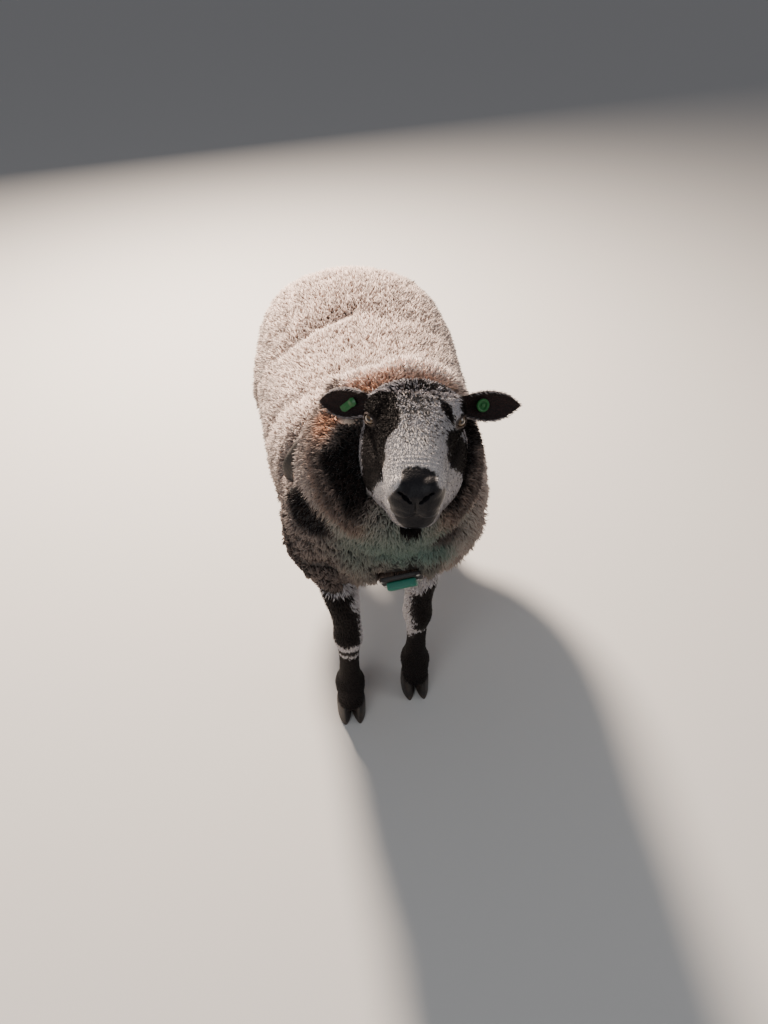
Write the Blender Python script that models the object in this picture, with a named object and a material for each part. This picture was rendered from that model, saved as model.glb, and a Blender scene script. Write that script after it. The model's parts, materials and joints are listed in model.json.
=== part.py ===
"""A polled spotted ram, life size, standing with its head raised, in a marking harness.

Metres, +Z up. The ram faces -Y and its left side is +X. The floor is z = 0, and the
origin is on the floor under the middle of the animal's box.
"""

import math

import bmesh
import bpy
import numpy as np
from mathutils import Matrix, Vector
from mathutils.bvhtree import BVHTree

GAP = 0.0004
FRAME_SHIFT = (0.0, -0.016, 0.0)
SIDES = {"left": 1, "right": -1}
ACROSS = Vector((1, 0, 0))
ALONG = Vector((0, 1, 0))
UP = Vector((0, 0, 1))

# The fleece is about 46 mm deep. Its clumps stand on a core less than half of that below
# the tips, in a few sizes of base, closer on the neck and smallest on the tail.
CORE_BELOW_TIPS = 0.019
CLUMP_RISE = 0.023
CLUMP_SPACING = 0.107
NECK_SPACING_SHARE = 0.72
CLUMP_SIZES = (0.044, 0.050, 0.056, 0.062, 0.068, 0.074, 0.080)
CLUMP_OVERLAP = 1.12
CLUMP_PROFILE = ((0.90, -0.55), (1.00, 0.10), (0.62, 0.80))
CLUMP_BEND = 0.22
CLUMP_SIDES = 6
CLUMP_SEED = 11
SAMPLES = 24000
CLUMPS_BEHIND = 0.080
CLUMPS_ABOVE = 0.352
TAIL_CLUMP = 0.040
TAIL_RISE = 0.010
TAIL_SPACING = 0.064
TAIL_ENDS = (0.375, 0.655)
LIMB_TOP_SHARE = 0.7
FLEECE_IN_CLUMPS = True

# Torso sections: distance along the body, half width, underside and back, over the fleece,
# and how far the middle lies to the left.
TORSO_ROWS = (
    (-0.378, 0.060, 0.520, 0.610, 0.012),
    (-0.366, 0.112, 0.476, 0.655, 0.012),
    (-0.335, 0.156, 0.432, 0.695, 0.012),
    (-0.285, 0.184, 0.402, 0.716, 0.011),
    (-0.200, 0.205, 0.374, 0.730, 0.010),
    (-0.080, 0.220, 0.352, 0.728, 0.008),
    (0.060, 0.231, 0.342, 0.714, 0.006),
    (0.200, 0.239, 0.345, 0.718, 0.004),
    (0.330, 0.237, 0.365, 0.734, 0.002),
    (0.430, 0.216, 0.400, 0.726, 0.000),
    (0.500, 0.172, 0.440, 0.695, 0.000),
    (0.535, 0.116, 0.480, 0.652, 0.000),
    (0.548, 0.060, 0.520, 0.615, 0.000),
)
TORSO_SQUARENESS = 2.25

# Neck sections, base to ruff: sideways, along, up, lean of the neck above level in degrees,
# half width, reach to the nape and reach to the throat.
NECK_ROWS = (
    (0.000, -0.120, 0.560, 18, 0.160, 0.150, 0.130),
    (0.004, -0.200, 0.600, 30, 0.172, 0.170, 0.150),
    (0.010, -0.270, 0.664, 40, 0.164, 0.168, 0.160),
    (0.018, -0.325, 0.724, 46, 0.149, 0.142, 0.145),
    (0.024, -0.355, 0.758, 48, 0.122, 0.106, 0.120),
    (0.028, -0.370, 0.776, 48, 0.078, 0.062, 0.078),
)
NECK_SQUARENESS = 2.1

# The woolly top of each limb, one with the trunk, and the bare leg below it. Sections lie
# level: height, sideways and along from the foot, half width and half length.
SHOULDER_ROWS = (
    (0.580, 0.070, 0.070, 0.040, 0.080),
    (0.500, 0.060, 0.062, 0.062, 0.100),
    (0.440, 0.036, 0.040, 0.054, 0.078),
    (0.400, 0.018, 0.020, 0.042, 0.056),
    (0.386, 0.013, 0.016, 0.030, 0.042),
)
THIGH_ROWS = (
    (0.600, 0.050, -0.060, 0.070, 0.110),
    (0.500, 0.044, -0.070, 0.094, 0.128),
    (0.430, 0.034, -0.068, 0.086, 0.116),
    (0.375, 0.018, -0.045, 0.062, 0.084),
    (0.338, 0.008, -0.018, 0.044, 0.058),
    (0.326, 0.006, -0.014, 0.030, 0.040),
)
FORELEG_ROWS = (
    (0.432, 0.022, 0.024, 0.030, 0.040),
    (0.396, 0.014, 0.017, 0.031, 0.042),
    (0.345, 0.006, 0.008, 0.029, 0.038),
    (0.300, 0.001, 0.000, 0.027, 0.032),
    (0.262, 0.000, -0.004, 0.0275, 0.032),
    (0.225, 0.000, -0.001, 0.0230, 0.027),
    (0.180, 0.000, 0.003, 0.0215, 0.025),
    (0.130, 0.000, 0.004, 0.0240, 0.028),
    (0.092, 0.000, 0.003, 0.0305, 0.034),
    (0.064, 0.000, -0.002, 0.0305, 0.033),
    (0.0424, 0.000, -0.008, 0.031, 0.034),
)
HINDLEG_ROWS = (
    (0.385, 0.012, -0.040, 0.034, 0.052),
    (0.345, 0.008, -0.020, 0.034, 0.052),
    (0.310, 0.003, 0.004, 0.029, 0.046),
    (0.280, 0.000, 0.020, 0.026, 0.040),
    (0.245, 0.000, 0.026, 0.024, 0.033),
    (0.195, 0.000, 0.020, 0.0215, 0.026),
    (0.140, 0.000, 0.011, 0.0235, 0.027),
    (0.095, 0.000, 0.004, 0.0295, 0.033),
    (0.066, 0.000, -0.002, 0.0295, 0.032),
    (0.0424, 0.000, -0.008, 0.030, 0.034),
)
DEWCLAW_SIZE = (0.008, 0.010, 0.011)
DEWCLAW_BACK = 0.034
DEWCLAW_HEIGHT = 0.082
FEET = {
    "foreleg_left": (0.076, -0.258),
    "foreleg_right": (-0.076, -0.306),
    "hindleg_left": (0.108, 0.395),
    "hindleg_right": (-0.108, 0.350),
}

# Tail and purse, top to bottom: height, sideways, along, half width, half length.
TAIL_ROWS = (
    (0.668, 0.0, 0.526, 0.024, 0.016),
    (0.640, 0.0, 0.538, 0.038, 0.024),
    (0.580, 0.0, 0.550, 0.043, 0.027),
    (0.500, 0.0, 0.556, 0.043, 0.027),
    (0.420, 0.0, 0.558, 0.036, 0.024),
    (0.362, 0.0, 0.556, 0.024, 0.016),
)
TAIL_ZONE = ((-0.057, 0.5260, 0.300), (0.057, 0.700, 0.700))
SCROTUM_ROWS = (
    (0.412, 0.0, 0.330, 0.034, 0.032),
    (0.365, 0.0, 0.334, 0.035, 0.033),
    (0.315, 0.0, 0.338, 0.042, 0.042),
    (0.265, 0.0, 0.340, 0.044, 0.046),
    (0.232, 0.0, 0.340, 0.033, 0.035),
    (0.218, 0.0, 0.340, 0.014, 0.015),
)

# The cut between trunk and neck passes through these two points, level from side to side.
NECK_CUT_BACK = (-0.190, 0.735)
NECK_CUT_FRONT = (-0.432, 0.590)

# The head's own frame starts midway between the eyes, with -Y towards the nose.
HEAD_PLACE = (0.036, -0.392, 0.839)
HEAD_TURN = -8.0
HEAD_LIFT = 0.0
HEAD_TIP = 1.0

# Skull sections: along, half width, underside and top.
SKULL_ROWS = (
    (0.110, 0.032, -0.060, -0.010),
    (0.090, 0.064, -0.078, 0.008),
    (0.055, 0.077, -0.084, 0.026),
    (0.015, 0.074, -0.076, 0.036),
    (-0.020, 0.066, -0.068, 0.036),
    (-0.055, 0.056, -0.062, 0.032),
    (-0.095, 0.048, -0.058, 0.027),
    (-0.125, 0.044, -0.054, 0.021),
    (-0.148, 0.041, -0.050, 0.013),
    (-0.163, 0.034, -0.044, 0.003),
    (-0.171, 0.019, -0.036, -0.009),
)
JAW_ROWS = (
    (0.130, 0.034, -0.106, -0.050),
    (0.105, 0.066, -0.128, -0.028),
    (0.060, 0.078, -0.136, -0.015),
    (0.020, 0.084, -0.140, -0.009),
    (-0.030, 0.077, -0.133, -0.012),
    (-0.070, 0.062, -0.117, -0.018),
    (-0.105, 0.046, -0.099, -0.027),
    (-0.135, 0.037, -0.087, -0.034),
    (-0.152, 0.028, -0.080, -0.040),
    (-0.160, 0.012, -0.070, -0.050),
)

JAW_SQUARE = 2.8

EYE_RADIUS = 0.0135
EYE_PLACE = (0.0615, -0.002, 0.004)
NOSTRIL_CUTS = (
    ((0.0120, -0.1700, -0.0120), (0.0042, 0.0110, 0.0075), 40),
    ((0.0190, -0.1620, -0.0045), (0.0034, 0.0110, 0.0065), 62),
)

# Ears: reach along the ear, half width, depth of the cup and backward bend.
EAR_ROOT = (0.058, 0.042, 0.000)
EAR_WAYS = {1: (0.90, 0.28, -0.16), -1: (-0.80, 0.46, -0.30)}
EAR_FACING = (0.10, -0.85, 0.35)
EAR_LENGTH = 0.119
EAR_ROWS = (
    (0.00, 0.0140, 0.0130, 0.000),
    (0.10, 0.0150, 0.0150, 0.001),
    (0.21, 0.0175, 0.0165, 0.001),
    (0.32, 0.0205, 0.0170, 0.001),
    (0.43, 0.0225, 0.0158, 0.0015),
    (0.54, 0.0230, 0.0135, 0.002),
    (0.65, 0.0216, 0.0110, 0.003),
    (0.76, 0.0180, 0.0080, 0.0045),
    (0.87, 0.0122, 0.0040, 0.007),
    (0.96, 0.0060, 0.0012, 0.009),
    (1.00, 0.0020, 0.0005, 0.010),
)
EAR_COLUMNS = 6
EAR_THICKNESS = 0.0044
TAG_REACH = 0.48
TAG_STEPS = (
    (-0.0110, -0.0085, 0.0108),
    (-0.0240, -0.0080, 0.0026),
    (-0.0245, -0.0223, 0.0100),
)
FLAG_SIZE = (0.013, 0.030, 0.0024)
FLAG_TURN = 30.0

# Claws: height, reach to the toe and to the heel, and half width.
CLAW_ROWS = (
    (0.0000, 0.045, 0.030, 0.0150),
    (0.0080, 0.044, 0.031, 0.0154),
    (0.0240, 0.038, 0.032, 0.0156),
    (0.0420, 0.031, 0.030, 0.0150),
)
CLAW_COLUMNS = 10
CLAW_POINT = 0.45
CLAW_SPREAD = 0.0162

HEAD_SWELLINGS = (
    ((0.0510, 0.012, 0.009), (0.0240, 0.034, 0.0205)),
    ((0.0550, 0.008, -0.064), (0.0250, 0.060, 0.050)),
    ((0.0180, -0.150, -0.009), (0.0200, 0.020, 0.020)),
    ((0.0150, -0.150, -0.040), (0.0200, 0.020, 0.014)),
)
EYE_GAZE = (0.72, -0.64, 0.24)
LID_REACH = 0.0032
LID_OPENING = (0.0035, 0.0128, 0.0070)
MOUTH_ROWS = (
    (0.0480, -0.088, -0.0470),
    (0.0455, -0.115, -0.0490),
    (0.0400, -0.140, -0.0515),
    (0.0290, -0.158, -0.0530),
    (0.0130, -0.1705, -0.0535),
    (0.0000, -0.1730, -0.0535),
)
PHILTRUM = ((-0.0008, -0.180, -0.048), (0.0008, -0.1670, -0.014))
MOUTH_OPENING = 0.0016
MOUTH_DEPTH = 0.010

# The harness: a plate and a crayon on the brisket, straps over both shoulders and a girth.
PLATE_PLACE = (0.026, -0.347, 0.463)
PLATE_TILT = 10.0
PLATE_ROLL = -6.0
PLATE_SIZE = (0.078, 0.058, 0.008)
CRAYON_SIZE = (0.056, 0.032, 0.015)
SPINE_PLACE = (0.000, -0.110, 0.76)
SPINE_SIZE = (0.040, 0.092, 0.004)
STRAP_WIDTH = 0.030
STRAP_THICKNESS = 0.004
STRAP_DEPTH = 0.006
SHOULDER_STRAP = (
    (0.026, -0.136, 0.740),
    (0.072, -0.136, 0.735),
    (0.110, -0.152, 0.728),
    (0.134, -0.190, 0.716),
    (0.148, -0.216, 0.680),
    (0.162, -0.224, 0.635),
    (0.170, -0.236, 0.590),
    (0.168, -0.272, 0.545),
    (0.148, -0.315, 0.505),
)
STRAP_ENDS = {
    "left": ((0.118, -0.336, 0.478), (0.086, -0.345, 0.467)),
    "right": ((0.105, -0.340, 0.480), (0.060, -0.346, 0.467), (0.031, -0.346, 0.463)),
}
GIRTH_STRAP = (
    (0.026, -0.085, 0.74),
    (0.120, -0.075, 0.71),
    (0.205, -0.060, 0.65),
    (0.250, -0.045, 0.55),
    (0.225, -0.030, 0.44),
    (0.150, -0.020, 0.37),
    (0.060, -0.020, 0.34),
)


FLEECE_COLOUR = (0.72, 0.66, 0.56)
FACE_COLOUR = (0.55, 0.50, 0.45)
DARK_COLOUR = (0.030, 0.022, 0.018)
SKIN_COLOUR = (0.40, 0.28, 0.22)
EYE_COLOUR = (0.35, 0.20, 0.06)
CLAW_COLOUR = (0.06, 0.05, 0.04)
TAG_COLOUR = (0.05, 0.45, 0.12)
STRAP_COLOUR = (0.25, 0.22, 0.19)
PLATE_COLOUR = (0.04, 0.04, 0.04)
CRAYON_COLOUR = (0.05, 0.42, 0.30)


def smooth_rows(rows, steps):
    """The rows with steps - 1 more between each two, on a Catmull-Rom curve through them."""
    ends = [rows[0], *rows, rows[-1]]
    made = []
    for before, here, there, after in zip(ends, ends[1:], ends[2:], ends[3:]):
        for step in range(steps):
            t = step / steps
            made.append(
                tuple(
                    0.5
                    * (
                        2 * h
                        + (n - b) * t
                        + (2 * b - 5 * h + 4 * n - a) * t * t
                        + (3 * h - b - 3 * n + a) * t * t * t
                    )
                    for b, h, n, a in zip(before, here, there, after)
                )
            )
    made.append(tuple(rows[-1]))
    return made


def oval(centre, side, rise, half_width, up, down, squareness, count):
    """One ring: a rounded section with its own reach up and down."""
    ring = []
    for step in range(count):
        angle = 2 * math.pi * (step + 0.5) / count
        c, s = math.cos(angle), math.sin(angle)
        across = half_width * math.copysign(abs(c) ** (2 / squareness), c)
        reach = up if s > 0 else down
        height = reach * math.copysign(abs(s) ** (2 / squareness), s)
        ring.append(centre + side * across + rise * height)
    return ring


def new_object(name, bm):
    """An object of this mesh, with its faces turned outwards."""
    bmesh.ops.recalc_face_normals(bm, faces=bm.faces)
    mesh = bpy.data.meshes.new(name)
    bm.to_mesh(mesh)
    bm.free()
    made = bpy.data.objects.new(name, mesh)
    bpy.context.scene.collection.objects.link(made)
    return made


def loft(name, rings):
    """A closed body through rings of equally many points, with a pole at each end."""
    bm = bmesh.new()
    rows = [[bm.verts.new(point) for point in ring] for ring in rings]
    count = len(rows[0])
    for row, following in zip(rows, rows[1:]):
        for step in range(count):
            after = (step + 1) % count
            bm.faces.new((row[step], row[after], following[after], following[step]))
    for row in (rows[0], rows[-1]):
        pole = bm.verts.new(sum((v.co for v in row), Vector()) / count)
        for step in range(count):
            bm.faces.new((row[step], row[(step + 1) % count], pole))
    return new_object(name, bm)


def turned_level(name, rows, steps, count, squareness):
    """A body whose sections lie across Y: along, half width, bottom, top, then its middle."""
    rings = []
    for along, half_width, bottom, top, *shift in smooth_rows(rows, steps):
        middle = Vector((shift[0] if shift else 0, along, (bottom + top) / 2))
        reach = (top - bottom) / 2
        rings.append(oval(middle, ACROSS, UP, half_width, reach, reach, squareness, count))
    return loft(name, rings)


def upright(name, rows, steps, count, squareness, foot=(0.0, 0.0), side=1):
    """A limb whose sections lie level: height, sideways, along, half width, half length."""
    rings = []
    for height, across, along, half_width, half_length in smooth_rows(rows, steps):
        middle = Vector((foot[0] + side * across, foot[1] + along, height))
        rings.append(oval(middle, ACROSS, ALONG, half_width, half_length, half_length, squareness, count))
    return loft(name, rings)


def remove(objects):
    for obj in list(objects):
        bpy.data.objects.remove(obj)


def apply_modifiers(obj):
    """Turns the object's mesh into what its modifiers make of it."""
    graph = bpy.context.evaluated_depsgraph_get()
    made = bpy.data.meshes.new_from_object(obj.evaluated_get(graph))
    obj.modifiers.clear()
    obj.data = made
    return obj


def boolean(obj, others, operation, solver="MANIFOLD"):
    """Joins, cuts or trims obj by a collection of closed meshes, then removes them."""
    operands = bpy.data.collections.new("operands")
    bpy.context.scene.collection.children.link(operands)
    for other in others:
        bpy.context.scene.collection.objects.unlink(other)
        operands.objects.link(other)
    modifier = obj.modifiers.new("join", "BOOLEAN")
    modifier.operation = operation
    modifier.operand_type = "COLLECTION"
    modifier.collection = operands
    modifier.solver = solver
    apply_modifiers(obj)
    remove(operands.objects)
    bpy.data.collections.remove(operands)
    return obj


def volume_of(faces):
    """The volume inside a closed set of faces."""
    total = 0.0
    for face in faces:
        corners = [v.co for v in face.verts]
        for second, third in zip(corners[1:], corners[2:]):
            total += corners[0].dot(second.cross(third)) / 6
    return total


def keep_largest(obj):
    """Keeps only the largest closed surface of the mesh."""
    bm = bmesh.new()
    bm.from_mesh(obj.data)
    waiting = set(bm.faces)
    pieces = []
    while waiting:
        piece, edge = set(), [waiting.pop()]
        while edge:
            face = edge.pop()
            piece.add(face)
            for link in (f for e in face.edges for f in e.link_faces):
                if link in waiting:
                    waiting.discard(link)
                    edge.append(link)
        pieces.append(piece)
    largest = max(pieces, key=lambda piece: abs(volume_of(piece)))
    spare = [face for piece in pieces if piece is not largest for face in piece]
    bmesh.ops.delete(bm, geom=spare, context="FACES")
    bm.to_mesh(obj.data)
    bm.free()
    return obj


def block(name, low, high, matrix=None):
    """A box between two corners."""
    bm = bmesh.new()
    size = Vector(high) - Vector(low)
    middle = (Vector(high) + Vector(low)) / 2
    bmesh.ops.create_cube(bm, size=1, matrix=Matrix.Translation(middle) @ Matrix.Diagonal((*size, 1)))
    if matrix is not None:
        bmesh.ops.transform(bm, matrix=matrix, verts=bm.verts)
    return new_object(name, bm)


def copy_of(obj, name):
    made = bpy.data.objects.new(name, obj.data.copy())
    bpy.context.scene.collection.objects.link(made)
    return made


def head_frame():
    """Places the head's own frame on the animal."""
    turn = Matrix.Rotation(math.radians(HEAD_TURN), 4, "Z")
    lift = Matrix.Rotation(math.radians(-HEAD_LIFT), 4, "X")
    tip = Matrix.Rotation(math.radians(HEAD_TIP), 4, "Y")
    return Matrix.Translation(HEAD_PLACE) @ turn @ lift @ tip


def spread(obj, amount):
    """Moves every corner of a smooth body outwards by amount."""
    if amount:
        bm = bmesh.new()
        bm.from_mesh(obj.data)
        bm.normal_update()
        moves = [(v, v.normal * amount * v.calc_shell_factor()) for v in bm.verts]
        for vertex, move in moves:
            vertex.co += move
        bm.to_mesh(obj.data)
        bm.free()
    return obj


def ellipsoid(name, place, radii, columns=12, rows=8, turn=None):
    """A ball of its own radius along each axis."""
    bm = bmesh.new()
    bmesh.ops.create_uvsphere(bm, u_segments=columns, v_segments=rows, radius=1)
    matrix = Matrix.Translation(place) @ (turn or Matrix()) @ Matrix.Diagonal((*radii, 1))
    bmesh.ops.transform(bm, matrix=matrix, verts=bm.verts)
    return new_object(name, bm)


def ribbon(name, places, outwards, widths, low, high):
    """A flat band through places: its own width at each, from low to high along outwards."""
    rings = []
    for step, place in enumerate(places):
        before = places[max(step - 1, 0)]
        after = places[min(step + 1, len(places) - 1)]
        along = (after - before).normalized()
        out = (outwards[step] - along * outwards[step].dot(along)).normalized()
        side = along.cross(out) * widths[step] / 2
        foot, head = place + out * low, place + out * high
        rings.append((foot + side, foot - side, head - side, head + side))
    bm = bmesh.new()
    rows = [[bm.verts.new(point) for point in ring] for ring in rings]
    for row, following in zip(rows, rows[1:]):
        for step in range(4):
            after = (step + 1) % 4
            bm.faces.new((row[step], row[after], following[after]))
            bm.faces.new((row[step], following[after], following[step]))
    bm.faces.new(rows[0])
    bm.faces.new(reversed(rows[-1]))
    return new_object(name, bm)


def placed(obj, matrix):
    obj.data.transform(matrix)
    return obj


def torso_form(amount=0.0, columns=28):
    """The trunk without its limbs, in to its core where amount is negative."""
    body = turned_level("torso", TORSO_ROWS, 2, columns, TORSO_SQUARENESS)
    return spread(body, amount)


def neck_form(amount=0.0, columns=24):
    """The neck, whose sections lean with it and reach further to the nape or the throat."""
    rings = []
    for x, y, z, lean, half_width, nape, throat in smooth_rows(NECK_ROWS, 2):
        angle = math.radians(lean)
        rise = Vector((0, math.sin(angle), math.cos(angle)))
        middle = Vector((x, y, z))
        rings.append(oval(middle, ACROSS, rise, half_width, nape, throat, NECK_SQUARENESS, columns))
    return spread(loft("neck", rings), amount)


def leg_form(name, amount=0.0):
    """One leg from the wool down to its hooves, with its two dewclaws."""
    rows = FORELEG_ROWS if name.startswith("fore") else HINDLEG_ROWS
    side = SIDES[name.rsplit("_", 1)[1]]
    leg = spread(upright(name, rows, 1, 12, 2.2, FEET[name], side), amount)
    dews = []
    for across in (-0.012, 0.012):
        place = (FEET[name][0] + across, FEET[name][1] + DEWCLAW_BACK, DEWCLAW_HEIGHT)
        dews.append(spread(ellipsoid("dew", place, DEWCLAW_SIZE, 6, 4), amount))
    return boolean(leg, dews, "UNION")


def limb_top(name, rows, side, amount):
    """The woolly upper part of a limb, which is one with the trunk."""
    return spread(upright(name, rows, 2, 16, 2.1, FEET[name], side), amount)


def head_form(amount=0.0):
    """The head without its ears, eyes and cuts, in the head's own frame."""
    skull = spread(turned_level("head", SKULL_ROWS, 2, 22, 2.3), amount)
    extra = [spread(turned_level("jaw", JAW_ROWS, 1, 16, JAW_SQUARE), amount)]
    for side in SIDES.values():
        for place, radii in HEAD_SWELLINGS:
            where = (place[0] * side, place[1], place[2])
            extra.append(spread(ellipsoid("swelling", where, radii), amount))
        lids = ellipsoid("lids", eye_place(side), (EYE_RADIUS + LID_REACH,) * 3, 12, 8)
        extra.append(spread(lids, amount))
    return boolean(skull, extra, "UNION")


def eye_place(side):
    return Vector((EYE_PLACE[0] * side, EYE_PLACE[1], EYE_PLACE[2]))


def gaze_turn(side):
    """Turns +X to the way that this eye looks."""
    gaze = Vector((EYE_GAZE[0] * side, EYE_GAZE[1], EYE_GAZE[2])).normalized()
    across = Vector((0, 0, 1)).cross(gaze).normalized()
    return Matrix((gaze, across, gaze.cross(across))).transposed().to_4x4()


def head_cuts():
    """The lids' openings, the eye sockets, the nostrils and the line of the mouth."""
    cuts = []
    for side in SIDES.values():
        eye = eye_place(side)
        turn = gaze_turn(side)
        out = turn @ Vector((EYE_RADIUS + LID_OPENING[0] / 2, 0, 0))
        slit = (LID_OPENING[0] * 3, LID_OPENING[1], LID_OPENING[2])
        cuts.append(ellipsoid("opening", eye + out, slit, 12, 6, turn))
        cuts.append(ellipsoid("socket", eye, (EYE_RADIUS + 0.0003,) * 3, 12, 8))
        for place, radii, turned in NOSTRIL_CUTS:
            where = (place[0] * side, place[1], place[2])
            spin = Matrix.Rotation(math.radians(turned * side), 4, "Y")
            cuts.append(ellipsoid("nostril", where, radii, 8, 6, spin))
    half = [Vector(place) for place in MOUTH_ROWS]
    whole = half + [Vector((-p.x, p.y, p.z)) for p in reversed(half[:-1])]
    up = [Vector((0, 0, 1))] * len(whole)
    widths = [MOUTH_DEPTH * 2] * len(whole)
    cuts.append(ribbon("mouth", whole, up, widths, -MOUTH_OPENING / 2, MOUTH_OPENING / 2))
    cuts.append(block("philtrum", *PHILTRUM))
    return cuts


def ear_form(side, amount=0.0):
    """A leaf of an ear, cupped towards the front, in the head's own frame."""
    along = Vector(EAR_WAYS[side]).normalized()
    facing = Vector((EAR_FACING[0] * side, EAR_FACING[1], EAR_FACING[2]))
    facing = (facing - along * facing.dot(along)).normalized()
    across = facing.cross(along)
    root = Vector((EAR_ROOT[0] * side, EAR_ROOT[1], EAR_ROOT[2]))
    rings = []
    for reach, width, cup, bend in EAR_ROWS:
        middle = root + along * (reach * EAR_LENGTH) - facing * bend
        inner, outer = [], []
        for step in range(EAR_COLUMNS + 1):
            t = -1 + 2 * step / EAR_COLUMNS
            lip = cup * (1 - t * t)
            thick = EAR_THICKNESS * (0.45 + 0.55 * (1 - t * t))
            inner.append(middle + across * (width * t) - facing * lip)
            outer.append(middle + across * (width * t * 1.04) - facing * (lip + thick))
        rings.append(inner + outer[::-1])
    return spread(loft("ear", rings), amount)


def claw_form(name, foot, side, inner):
    """One claw of a hoof: flat soled, its wall sloping back to a level top."""
    across = CLAW_SPREAD * (-1 if inner else 1) * side
    rings = []
    for height, front, back, half_width in CLAW_ROWS:
        ring = []
        for angle in (2 * math.pi * step / CLAW_COLUMNS for step in range(CLAW_COLUMNS)):
            c, s = math.cos(angle), math.sin(angle)
            reach = back if s > 0 else front
            width = half_width * (1 - CLAW_POINT * max(0.0, -s) ** 3)
            x = width * math.copysign(abs(c) ** 0.8, c)
            ring.append(Vector((foot[0] + across + x, foot[1] + s * reach, height)))
        rings.append(ring)
    return loft(name, rings)


def tag_form(name, side, amount=0.0):
    """An ear tag: a front piece, a back button and the pin between them."""
    along = Vector(EAR_WAYS[side]).normalized()
    facing = Vector((EAR_FACING[0] * side, EAR_FACING[1], EAR_FACING[2]))
    facing = (facing - along * facing.dot(along)).normalized()
    root = Vector((EAR_ROOT[0] * side, EAR_ROOT[1], EAR_ROOT[2]))
    middle = root + along * (TAG_REACH * EAR_LENGTH)
    turn = facing.to_track_quat("Z", "Y").to_matrix().to_4x4()
    pieces = []
    for low, high, radius in TAG_STEPS:
        bm = bmesh.new()
        depth = high - low + 2 * amount
        matrix = Matrix.Translation(middle + facing * (low + high) / 2) @ turn
        bmesh.ops.create_cone(
            bm,
            cap_ends=True,
            segments=12,
            radius1=radius + amount,
            radius2=radius + amount,
            depth=depth,
            matrix=matrix,
        )
        pieces.append(new_object(name, bm))
    if side < 0:
        half = Vector(FLAG_SIZE) / 2 + Vector((amount,) * 3)
        spin = Matrix.Rotation(math.radians(FLAG_TURN), 4, "Z")
        lift = Matrix.Translation((0, 0, TAG_STEPS[0][1] - FLAG_SIZE[2] / 2))
        shift = Matrix.Translation((0, -FLAG_SIZE[1] * 0.32, 0))
        matrix = Matrix.Translation(middle) @ turn @ lift @ spin @ shift
        pieces.append(block(name, -half, half, matrix))
    return boolean(pieces[0], pieces[1:], "UNION")


def nearest(tree, guide):
    place, normal, _, _ = tree.find_nearest(Vector(guide))
    return place, normal


def smooth_path(guides, steps):
    return [Vector(place) for place in smooth_rows(guides, steps)]


def strap_form(name, tree, guides, side, low, high, width, longer=0.0):
    """A strap laid along the fleece's surface, at a depth below it."""
    places, outwards = [], []
    for guide in smooth_path(guides, 2):
        place, normal = nearest(tree, (guide.x * side, guide.y, guide.z))
        places.append(place)
        outwards.append(normal)
    smooth = [
        (outwards[max(i - 1, 0)] + outwards[i] * 2 + outwards[min(i + 1, len(outwards) - 1)]).normalized()
        for i in range(len(outwards))
    ]
    places[0] += (places[0] - places[1]).normalized() * longer
    places[-1] += (places[-1] - places[-2]).normalized() * longer
    return ribbon(name, places, smooth, [width] * len(places), low, high)


def even_places(obj, spacing, seed, finer=None):
    """Places spread evenly over a surface, closer where finer says so by a share.

    Gives each place, its normal, and how far its cell reaches.
    """
    mesh = obj.data
    mesh.calc_loop_triangles()
    corners = np.array([[mesh.vertices[i].co[:] for i in t.vertices] for t in mesh.loop_triangles])
    sides = np.cross(corners[:, 1] - corners[:, 0], corners[:, 2] - corners[:, 0])
    areas = np.linalg.norm(sides, axis=1) / 2
    rng = np.random.default_rng(seed)
    picks = rng.choice(len(areas), SAMPLES, p=areas / areas.sum())
    mix = rng.random((SAMPLES, 2))
    fold = mix.sum(axis=1) > 1
    mix[fold] = 1 - mix[fold]
    base = corners[picks]
    points = base[:, 0] + (base[:, 1] - base[:, 0]) * mix[:, :1] + (base[:, 2] - base[:, 0]) * mix[:, 1:]
    normals = sides[picks] / (2 * areas[picks][:, None])
    share = np.ones(SAMPLES) if finer is None else finer(points)
    count = int(areas.sum() * (share**-2).mean() / (0.866 * spacing * spacing))
    chosen = [0]
    away = np.linalg.norm(points - points[0], axis=1) / share
    for _ in range(count - 1):
        chosen.append(int(away.argmax()))
        away = np.minimum(away, np.linalg.norm(points - points[chosen[-1]], axis=1) / share)
    centres = points[chosen]
    for _ in range(12):
        owner = nearest_centre(points, centres)
        sums = np.zeros_like(centres)
        np.add.at(sums, owner, points)
        held = np.bincount(owner, minlength=len(centres))[:, None]
        centres = np.where(held > 0, sums / np.maximum(held, 1), centres)
    owner = nearest_centre(points, centres)
    leans = np.zeros_like(centres)
    np.add.at(leans, owner, normals)
    leans /= np.maximum(np.linalg.norm(leans, axis=1, keepdims=True), 1e-9)
    reach = np.zeros(len(centres))
    np.maximum.at(reach, owner, np.linalg.norm(points - centres[owner], axis=1))
    return centres, leans, reach


def nearest_centre(points, centres):
    squares = (points**2).sum(axis=1)[:, None] - 2 * points @ centres.T + (centres**2).sum(axis=1)
    return squares.argmin(axis=1)


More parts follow.
